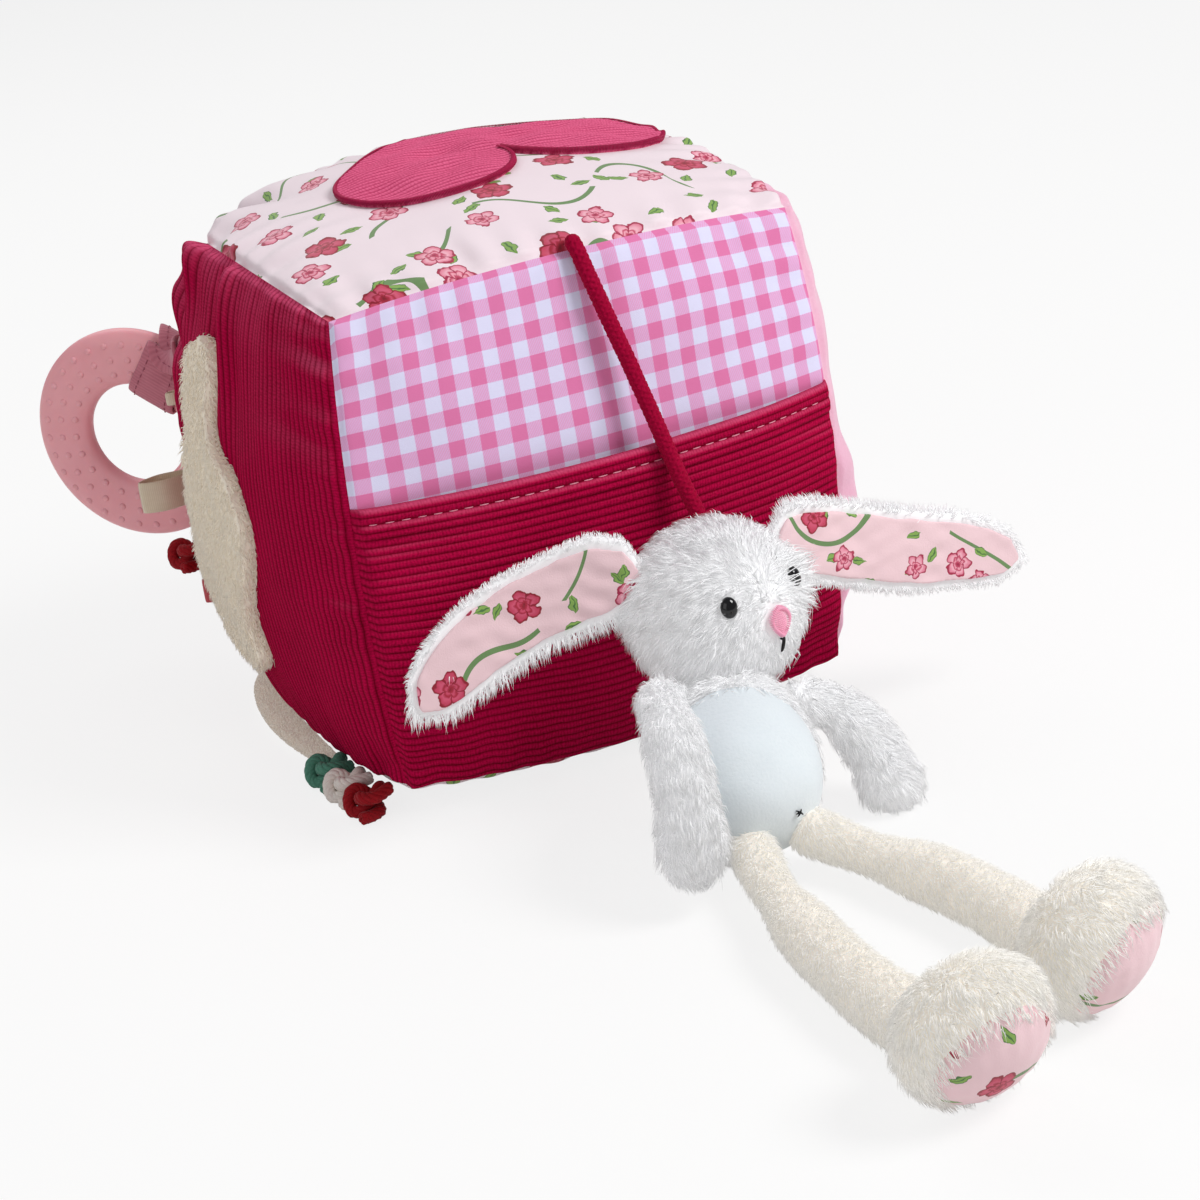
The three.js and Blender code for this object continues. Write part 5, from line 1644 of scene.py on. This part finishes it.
@dataclass(frozen=True)
class PlushRabbit:
    """The little rabbit: plush skins with their pile, smooth belly, printed ears and soles."""

    head_centre: tuple[float, float, float] = (13.0, -110.32, 56.0)
    head_radius: float = 22.5
    yaw: float = 18.0  # degrees that the face looks to the right
    belly_way: tuple[float, float, float] = (0.22, -0.86, 0.46)
    under_belly: tuple[float, float, float] = (17.5, 24.0, 12.0)  # half across, half up, how deep
    eye: tuple[float, float, float] = (2.3, 2.9, 1.7)  # half across, half up and deep
    eye_turn: float = 33.0  # degrees aside and up from the middle of the face
    eye_lift: float = 18.0
    nose_size: tuple[float, float] = (7.0, 8.4)
    nose_rows: int = 15
    nose_fill: float = 0.82  # of its half width that the level stitches take
    nose_threads: tuple[float, float] = (0.25, 0.26)  # radii of the level stitches and the outline's
    mouth_length: float = 4.6
    mouth_thread: float = 0.34
    navel_thread: float = 0.26
    foot_radius: float = 18.5
    foot_depth: float = 13.5
    foot_tip: float = 30.0  # degrees that its sole looks down, and aside below
    foot_turn: tuple[float, float] = (6.0, 30.0)  # left and right
    belly_stand: tuple[float, float, float] = (0.9, 0.3, 2.2)  # its middle out, its rim in, its edge in
    belly_uneven: tuple[float, float] = (0.25, 17.0)  # height and wave
    sole_stand: tuple[float, float] = (0.3, 0.6)  # its rim out, its edge in
    sole_uneven: tuple[float, float] = (0.35, 7.0)
    face_clear: tuple[float, float, float] = (4.1, 1.5, 1.9)  # round the nose, the mouth and the left eye
    lining_print: tuple[float, float] = (12.0, 73.0)  # where the print starts, left and right
    lining_clear: float = 1.3  # from a lining to the pile
    sole_radius: float = 15.5
    ear_facing: tuple[float, float, float] = (-0.1, -0.97, 0.2)
    root_blend: float = 15.0  # from an ear's root to where its cloth keeps its packed form
    root_widen: float = 0.12
    root_draw: float = 3.5

    @property
    def face_way(self) -> Array:
        """The way that the face looks."""
        return heading(self.yaw, 0)

    def head_reach(self, ways: Array) -> Array:
        """How far the head reaches each way: a ball, wider than tall, with a muzzle."""
        right = np.cross(self.face_way, vec(0, 0, 1)) * -1
        muzzle = unit(self.face_way + vec(0, 0, -0.18))
        toward = np.maximum(ways @ muzzle, 0) ** 6
        return self.head_radius * (1 + 0.05 * (ways @ right) ** 2 - 0.03 * ways[..., 2] ** 2 + 0.09 * toward)

    def on_face(self, x: Array, y: Array, lift: Array | float) -> Array:
        """Places on the head, x across and y up its face as seen from the front.

        A place is found by halving steps inwards along the face's way until it is on the skin.
        """
        right = np.cross(vec(0, 0, 1), self.face_way) * -1
        start = vec(*self.head_centre) + x[..., None] * right + y[..., None] * vec(0, 0, 1)
        near, far = np.zeros_like(x), np.full_like(x, 2 * self.head_radius)
        for _ in range(24):
            depth = (near + far) / 2
            away = start + depth[..., None] * self.face_way - vec(*self.head_centre)
            inside = np.linalg.norm(away, axis=-1) < self.head_reach(unit(away)) + lift
            near, far = np.where(inside, depth, near), np.where(inside, far, depth)
        return start + near[..., None] * self.face_way

    def nose(self) -> Surface:
        """An embroidered nose: level satin stitches in a rounded triangle, and a stitched outline."""
        w, h = self.nose_size[0] / 2, self.nose_size[1] / 2
        down = np.linspace(0.03, 0.95, self.nose_rows)
        x = self.nose_half(down) * w * self.nose_fill
        cross = np.linspace(-1, 1, 7)
        y = h * (1 - 2 * down)[:, None] + 0 * cross
        rows = self.on_face(x[:, None] * cross, y, 0.95 - 0.5 * cross**2 + 0 * y)
        fill = threads(rows, alike(self.face_way, len(rows)), self.nose_threads[0])
        down = 0.5 - 0.5 * np.cos(np.linspace(0.02, 0.98, 22) * math.pi)
        half = np.stack([self.nose_half(down) * w, h * (1 - 2 * down)], -1)
        around = np.concatenate([half, half[::-1] * vec(-1, 1)])
        share = np.linspace(0, 1, 6)[None, :, None]
        x, y = np.moveaxis(around[:, None] * (1.08 - 0.36 * share), -1, 0)
        edge = self.on_face(x, y, 0.5 + 0.9 * np.sin(share[..., 0] * math.pi) + 0 * x)
        outline = threads(edge, alike(self.face_way, len(edge)), self.nose_threads[1])
        return Surface.joined([fill, outline])

    @staticmethod
    def nose_half(down: Array) -> Array:
        """The nose's half width as a share, from its round top to its point."""
        return 1.28 * np.sin(math.pi * np.clip(down, 0, 1)) ** 0.65 * (1 - 0.5 * down)

    def mouth(self) -> Surface:
        """A short black mouth: two upright threads under the nose and a knot at their head."""
        top = -self.nose_size[1] / 2 - 0.1
        y = top - np.linspace(0, self.mouth_length, 7)
        x = np.array([[-0.25], [0.3], [0.05]])
        paths = self.on_face(x + 0 * y, np.broadcast_to(y, (3, 7)), 1.0 + 0.25 * np.ones((3, 7)))
        tick = self.on_face(np.linspace(-0.2, 1.5, 7)[None], (top - 0.9 + np.linspace(0, 1.1, 7))[None], 1.25)
        paths = np.concatenate([paths, tick])
        return threads(paths, alike(self.face_way, len(paths)), self.mouth_thread)

    def eye_way(self, hand: int) -> Array:
        """The way from the middle of the head to an eye."""
        return heading(self.yaw + hand * self.eye_turn, self.eye_lift)

    def eye_dome(self, hand: int) -> Surface:
        """A glossy oval dome with its rim sunk in the pile."""
        way = self.eye_way(hand)
        wide, tall, deep = self.eye
        fall, spin = np.meshgrid(np.linspace(-0.6, math.pi / 2, 22), turns(40), indexing="ij")
        out = np.cos(fall)
        local = np.stack([wide * out * np.cos(spin), tall * out * np.sin(spin), deep * np.sin(fall)], -1)
        centre = vec(*self.head_centre) + way * (self.head_radius * 1.02 + 0.7)
        return Surface.grid(centre + local @ framed(way), wrap=True)

    def belly(self) -> Surface:
        """The smooth belly panel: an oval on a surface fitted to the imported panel's outer side.

        Its depth is a polynomial of the fourth degree in the places across and up it.
        """
        panel = soft_copy("belly_panel", 0.6, 2)
        ways = framed(vec(*self.belly_way))
        middle = (panel.places.min(0) + panel.places.max(0)) / 2
        outer = panel.normals() @ ways[2] > 0.45
        x, y, deep = ((panel.places[outer] - middle) @ ways.T).T
        wide, tall = (x.max() - x.min()) / 2, (y.max() - y.min()) / 2
        x0, y0 = (x.max() + x.min()) / 2, (y.max() + y.min()) / 2

        def terms(a: Array, b: Array) -> Array:
            """Each power of a and b up to the fourth degree together."""
            return np.stack([a**i * b**j for i in range(5) for j in range(5 - i)], -1)

        fit = np.linalg.lstsq(terms((x - x0) / wide, (y - y0) / tall), deep, rcond=None)[0]
        share, spin = spread_out(1 - np.linspace(0, 1, 44) ** 1.5, turns(160))
        a, b = share * np.cos(spin), share * np.sin(spin)
        height, length = self.belly_uneven
        uneven = height * Ripple(length, 21).over(np.stack([a * wide, b * tall], -1)) * (1 - share**4)
        middle_out, rim_in, edge_in = self.belly_stand
        lift = middle_out * np.sqrt(1 - share**6) - rim_in + uneven
        lift[0] = -edge_in
        local = np.stack([x0 + a * wide, y0 + b * tall, terms(a, b) @ fit + lift], -1)
        return Surface.grid(middle + local @ ways, wrap=True)

    def on_belly(self, places: Array) -> Array:
        """Whether places on the torso lie under the belly panel, but for its rim."""
        right, rise, way = framed(vec(*self.belly_way))
        away = places - centre_of("belly_panel")
        wide, tall, deep = self.under_belly
        return (np.hypot(away @ right / wide, away @ rise / tall) < 1) & (away @ way > -deep)

    def sole(self, side: str) -> tuple[Surface, Array, Array]:
        """A printed sole: a round cap of the foot's form, with the foot's middle and its way."""
        centre = centre_of("foot_" + side)
        way = heading(self.foot_turn[side == "right"], -self.foot_tip)
        share, spin = spread_out(1 - np.linspace(0, 1, 40) ** 1.5, turns(120))
        x, y = self.sole_radius * share * np.cos(spin), self.sole_radius * share * np.sin(spin)
        deep = self.foot_depth * np.sqrt(1 - (self.sole_radius * share / self.foot_radius) ** 2)
        height, length = self.sole_uneven
        uneven = height * Ripple(length, 13).over(np.stack([x, y], -1)) * share**2 * (1 - share**6)
        rim_out, edge_in = self.sole_stand
        lift = rim_out + np.sqrt(1 - share**8) + uneven
        lift[0] = -edge_in
        local = np.stack([x, y, deep + lift], -1)
        cloth = np.stack([x, y], -1) + (0 if side == "left" else 31)
        return Surface.grid(centre + local @ framed(way), cloth, wrap=True), centre, way

    def build(self) -> None:
        """Makes and dresses the rabbit."""
        plush = Plush("white_plush").build()
        leg_plush = Plush("leg_plush", tip="#FEFCF7", root="#EBE4D9").build()
        minky = Nap("white_minky", "#EFF5F8", "#DDE7EC", grain=0.8, depth=0.25).build()
        printed = PrintedCotton("printed_cotton_lining", ground="#F3D1D6", blossom=4.6, spread=21.0).build()
        black = Moulded("black_gloss_eye", "#0B0B0F", "#050507", gloss=0.08).build()
        self.dress_head(plush, black)
        self.dress_torso(plush, minky)
        for side in ("left", "right"):
            self.dress_limbs(side, plush, leg_plush, printed)
            self.dress_ear(side, plush, printed)

    def dress_head(self, plush: bpy.types.Material, black: bpy.types.Material) -> None:
        """The head's plush, brushed back and down from the nose, and its face."""
        centre = vec(*self.head_centre)
        nose = self.on_face(vec(0.0), vec(0.0), 0)[0]
        chin = self.on_face(vec(0.0), vec(-8.0), 0)[0]
        eyes = [centre + self.eye_way(hand) * self.head_radius for hand in (-1, 1)]

        def keep(places: Array) -> Array:
            """Leaves the nose, the mouth and the eyes clear."""
            spots = zip((nose, chin, eyes[0]), self.face_clear)
            return np.all([apart(places, spot) > reach for spot, reach in spots], axis=0)

        def longer(places: Array) -> Array:
            """Shorter pile on the muzzle and the crown, longer on the cheeks, the ears and a brow."""
            cheeks = 0.5 * ease(centre[2] + 6, centre[2] - 12, places[:, 2])
            ears = [centre + vec(hand * 20.5, 3, 8) for hand in (-1, 1)]
            near = np.min([apart(places, ear) for ear in ears], axis=0)
            brow = 1.3 * ease(8, 3, apart(places, eyes[1]))
            base = 0.42 + (0.55 + cheeks) * ease(5, 20, apart(places, nose))
            return base + 0.5 * ease(11, 5, near) + brow

        pile = Pile(per_mm2=2.5, length=6.8, width=0.34, lean=0.74, lock=4.6, seed=41, pull=0.72)
        furred = pile.over(soft_copy("head", 1.3, 10), brushed_from(nose, vec(0, 0, -0.9)), keep, longer)
        piece("head_plush", furred, plush, Body.HEAD, "head")
        floss = Strand("pink_floss", "#FFC2D8", "#F494B6", gloss=0.5).build()
        piece("nose_stitches", self.nose(), floss, Body.HEAD, "nose")
        floss = Strand("black_floss", "#1A1618", "#0A0809", gloss=0.6).build()
        piece("mouth_stitches", self.mouth(), floss, Body.HEAD, "mouth_stitch")
        for hand, side in ((-1, "left"), (1, "right")):
            piece("eye_dome_" + side, self.eye_dome(hand), black, Body.HEAD, "eye_" + side)

    def dress_torso(self, plush: bpy.types.Material, minky: bpy.types.Material) -> None:
        """The torso's plush round the smooth belly, and the navel's stitches."""
        pile = Pile(per_mm2=2.2, length=6.0, width=0.33, lean=0.7, lock=4.0, seed=43, pull=0.66)
        chin = vec(*self.head_centre) + self.face_way * 10 + vec(0, 0, -self.head_radius)

        def keep(places: Array) -> Array:
            """Leaves out what lies under the belly panel."""
            return ~self.on_belly(places)

        def longer(places: Array) -> Array:
            """Shorter pile under the chin."""
            return 0.3 + 0.7 * ease(8, 20, apart(places, chin))

        furred = pile.over(soft_copy("torso", 1.3, 10), brushed_along(-0.2, -0.3, -1), keep, longer)
        torso = piece("torso_plush", furred, plush, Body.TORSO, "torso")
        piece("belly_minky", self.belly(), minky, Body.TORSO, "belly_panel")
        right, rise, way = framed(vec(*self.belly_way))
        spot = centre_of("navel_stitch") + way * 0.5
        ends = [(-1.1, -0.8, 1.1, 0.7), (-0.8, 0.9, 0.9, -0.9), (-1.2, 0.0, 0.4, 0.3)]
        run = np.linspace(0, 1, 6)[:, None]
        bow = way * 0.5 * np.sin(math.pi * run)
        paths = [spot + right * (a + (c - a) * run) + rise * (b + (d - b) * run) + bow for a, b, c, d in ends]
        floss = Strand("navel_floss", "#1E2326", "#0A0C0D", gloss=0.6).build()
        stitches = threads(np.array(paths), alike(way, 3), self.navel_thread)
        piece("navel_stitches", stitches, floss, Body.TORSO, "navel_stitch")

    def dress_limbs(
        self, side: str, plush: bpy.types.Material, leg_plush: bpy.types.Material,
        printed: bpy.types.Material,
    ) -> None:
        """An arm, and a leg and a foot of warmer plush, with its sole."""
        seed = {"left": 50, "right": 60}[side]
        down = vec(0, 0, -0.3)
        sole, foot, way = self.sole(side)
        arm = Pile(per_mm2=2.4, length=6.0, width=0.33, lean=0.66, lock=4.0, seed=seed + 1, pull=0.66)
        leg = Pile(per_mm2=3.6, length=2.5, width=0.24, lean=0.66, lock=2.0, seed=seed + 2, pull=0.35)
        for limb, pile, cloth in (("arm", arm, plush), ("leg", leg, leg_plush)):
            comb = brushed_from(pivot(f"{limb}_{side}_lift"), down)
            furred = pile.over(soft_copy(f"{limb}_{side}", 1.0, 8), comb)
            made = piece(f"{limb}_plush_{side}", furred, cloth, f"{side}_{limb}", f"{limb}_{side}")

        def keep(places: Array) -> Array:
            """Leaves out what lies under the sole."""
            away = places - foot
            deep = away @ way
            return (deep < 0) | (apart(away, deep[:, None] * way) > self.sole_radius - 0.6)

        pile = Pile(per_mm2=2.6, length=4.4, width=0.32, lean=0.64, lock=3.4, seed=seed + 3, pull=0.6)
        furred = pile.over(soft_copy("foot_" + side, 1.2, 8), brushed_from(foot, way * 1.1, down), keep)
        made = piece("foot_plush_" + side, furred, leg_plush, side + "_leg", "foot_" + side)
        piece("sole_print_" + side, sole, printed, side + "_leg", "sole_" + side)

    def rooted(self, ear: Surface, side: str) -> Surface:
        """An ear's cloth drawn out and widened where it goes into the head's seam.

        Past root_blend from the root nothing moves; nearer, the move rises as a smooth step.
        """
        root = pivot("ear_" + side + "_flap")
        along = unit(ear.places.mean(0) - root)
        across = unit(np.cross(vec(*self.ear_facing), along))
        away = ear.places - root
        near = ease(self.root_blend, 4.0, away @ along)[:, None]
        ear.places += near * ((away @ across)[:, None] * across * self.root_widen - along * self.root_draw)
        return ear

    def dress_ear(self, side: str, plush: bpy.types.Material, printed: bpy.types.Material) -> None:
        """An ear's plush, with its long border, and its printed lining."""
        lining = self.rooted(soft_copy("ear_lining_" + side, 0.4, 10), side)
        facing = vec(*self.ear_facing)
        right = unit(np.cross(facing, vec(0, 0, 1)))
        flat = np.stack([lining.places @ right, lining.places @ np.cross(right, facing)], -1)
        lining.cloth = flat + self.lining_print[side == "right"]
        lining.places += lining.normals() * (0.18 * Ripple(8, 77).over(lining.places))[:, None]
        cover = lining.places[::7]

        def keep(places: Array) -> Array:
            """Leaves out what lies under the lining."""
            gaps = np.linalg.norm(places[:, None] - cover[None], axis=-1).min(1)
            return gaps > self.lining_clear

        run = np.polyfit(lining.places[:, 0], lining.places[:, 2], 2)
        upper, lower = {"left": (0.45, 1.15), "right": (0.75, 0.5)}[side]

        def longer(places: Array) -> Array:
            """Pile of one length above the ear's middle line and of another below it."""
            above = ease(-4, 3, places[:, 2] - np.polyval(run, places[:, 0]))
            return lower + (upper - lower) * above

        middle = lining.places.mean(0)

        def comb(places: Array) -> Array:
            """Away from the ear's middle line, back and down."""
            return (places - middle) * vec(0.02, 0.02, 0.25) + vec(0.0, 0.3, -0.25)

        seed = {"left": 70, "right": 80}[side]
        pile = Pile(per_mm2=2.4, length=4.2, width=0.34, lean=0.5, lock=2.0, seed=seed)
        skin = self.rooted(soft_copy("ear_" + side, 0.8, 6), side)
        furred = pile.over(skin, comb, keep, longer)
        made = piece("ear_plush_" + side, furred, plush, side + "_ear", "ear_" + side)
        piece("ear_print_" + side, lining, printed, side + "_ear", "ear_lining_" + side)


# The studio


@dataclass(frozen=True)
class Studio:
    """The camera of the photograph, a pale floor and soft light."""

    place: tuple[float, float, float] = (-0.2886, -0.7955, 0.3649)  # the camera's, in metres
    right: tuple[float, float, float] = (0.9026, -0.4105, -0.1296)
    down: tuple[float, float, float] = (-0.2661, -0.2954, -0.9176)
    ahead: tuple[float, float, float] = (0.3384, 0.8627, -0.3759)
    lens: float = 90.18
    sensor: float = 36.0
    floor: float = 6.0  # metres across
    aim: tuple[float, float, float] = (0.0, -0.1, 0.06)  # what the lamps look at
    glow: float = 0.8  # how much the floor shines where the camera sees it
    lamps: tuple[tuple[tuple[float, float, float], float, float], ...] = (  # place, size and watts
        ((0.75, -0.75, 1.1), 0.55, 14.0),
        ((-1.0, -0.6, 0.6), 0.9, 2.3),
        ((-0.1, 0.8, 0.9), 0.8, 3.5),
    )
    sky: float = 0.31

    def camera(self) -> None:
        """Places the camera; it comes before everything else."""
        data = bpy.data.cameras.new("camera")
        data.lens, data.sensor_width = self.lens, self.sensor
        back, up = (-vec(*way) for way in (self.ahead, self.down))
        camera = self.held("camera", data, unit(vec(*self.right)), unit(up), unit(back), vec(*self.place))
        bpy.context.scene.camera = camera

    @staticmethod
    def held(
        name: str, data: bpy.types.ID, right: Array, up: Array, back: Array, place: Array
    ) -> bpy.types.Object:
        """A camera or a lamp, held at a place with its own axes along three ways."""
        made = bpy.data.objects.new(name, data)
        columns = np.column_stack([right, up, back, place])
        made.matrix_world = Matrix([*columns.tolist(), [0, 0, 0, 1]])
        bpy.context.scene.collection.objects.link(made)
        return made

    def build(self) -> None:
        """Lays the floor and hangs the lamps."""
        scene = bpy.context.scene
        scene.view_settings.view_transform = "Standard"
        mesh = bpy.data.meshes.new("floor")
        half = self.floor / 2
        corners = [(-half, -half, 0), (half, -half, 0), (half, half, 0), (-half, half, 0)]
        mesh.from_pydata(corners, [], [(0, 1, 2, 3)])
        floor = bpy.data.objects.new("floor", mesh)
        scene.collection.objects.link(floor)
        g = Graph("pale_floor")
        matt = g.put("BsdfPrincipled", named={"Base Color": linear("#F4F3F1"), "Roughness": 0.9})
        glow = g.put("Emission", linear("#FFFFFF"), 1.0)
        path = g.put("LightPath", out="Is Camera Ray").node
        rays = g.plus(path.outputs["Is Camera Ray"], path.outputs["Is Glossy Ray"])
        rays = g.plus(rays, path.outputs["Is Transmission Ray"], clamp=True)
        seen = g.times(rays, self.glow)
        g.put("OutputMaterial", g.put("MixShader", seen, matt, glow))
        mesh.materials.append(g.material)
        world = bpy.data.worlds.new("sky")
        world.use_nodes = True
        scene.world = world
        world.node_tree.nodes["Background"].inputs["Color"].default_value = linear("#FBFBFF")
        world.node_tree.nodes["Background"].inputs["Strength"].default_value = self.sky
        for k, (place, size, power) in enumerate(self.lamps):
            lamp = bpy.data.lights.new(f"lamp_{k}", "AREA")
            lamp.energy, lamp.size = power, size
            back = -unit(vec(*self.aim) - vec(*place))
            right = unit(np.cross(vec(0, 0, 1), back))
            self.held(f"lamp_{k}", lamp, right, np.cross(back, right), back, vec(*place))


def main() -> None:
    """Builds the whole scene in order."""
    logging.basicConfig(level=logging.INFO, format="%(name)s %(message)s")
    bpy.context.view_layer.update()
    studio = Studio()
    studio.camera()
    TetherCord().build()
    StuffedBlock().build()
    Teether().build()
    SeamTrims().build()
    PlushRabbit().build()
    studio.build()


if __name__ == "__main__":
    main()
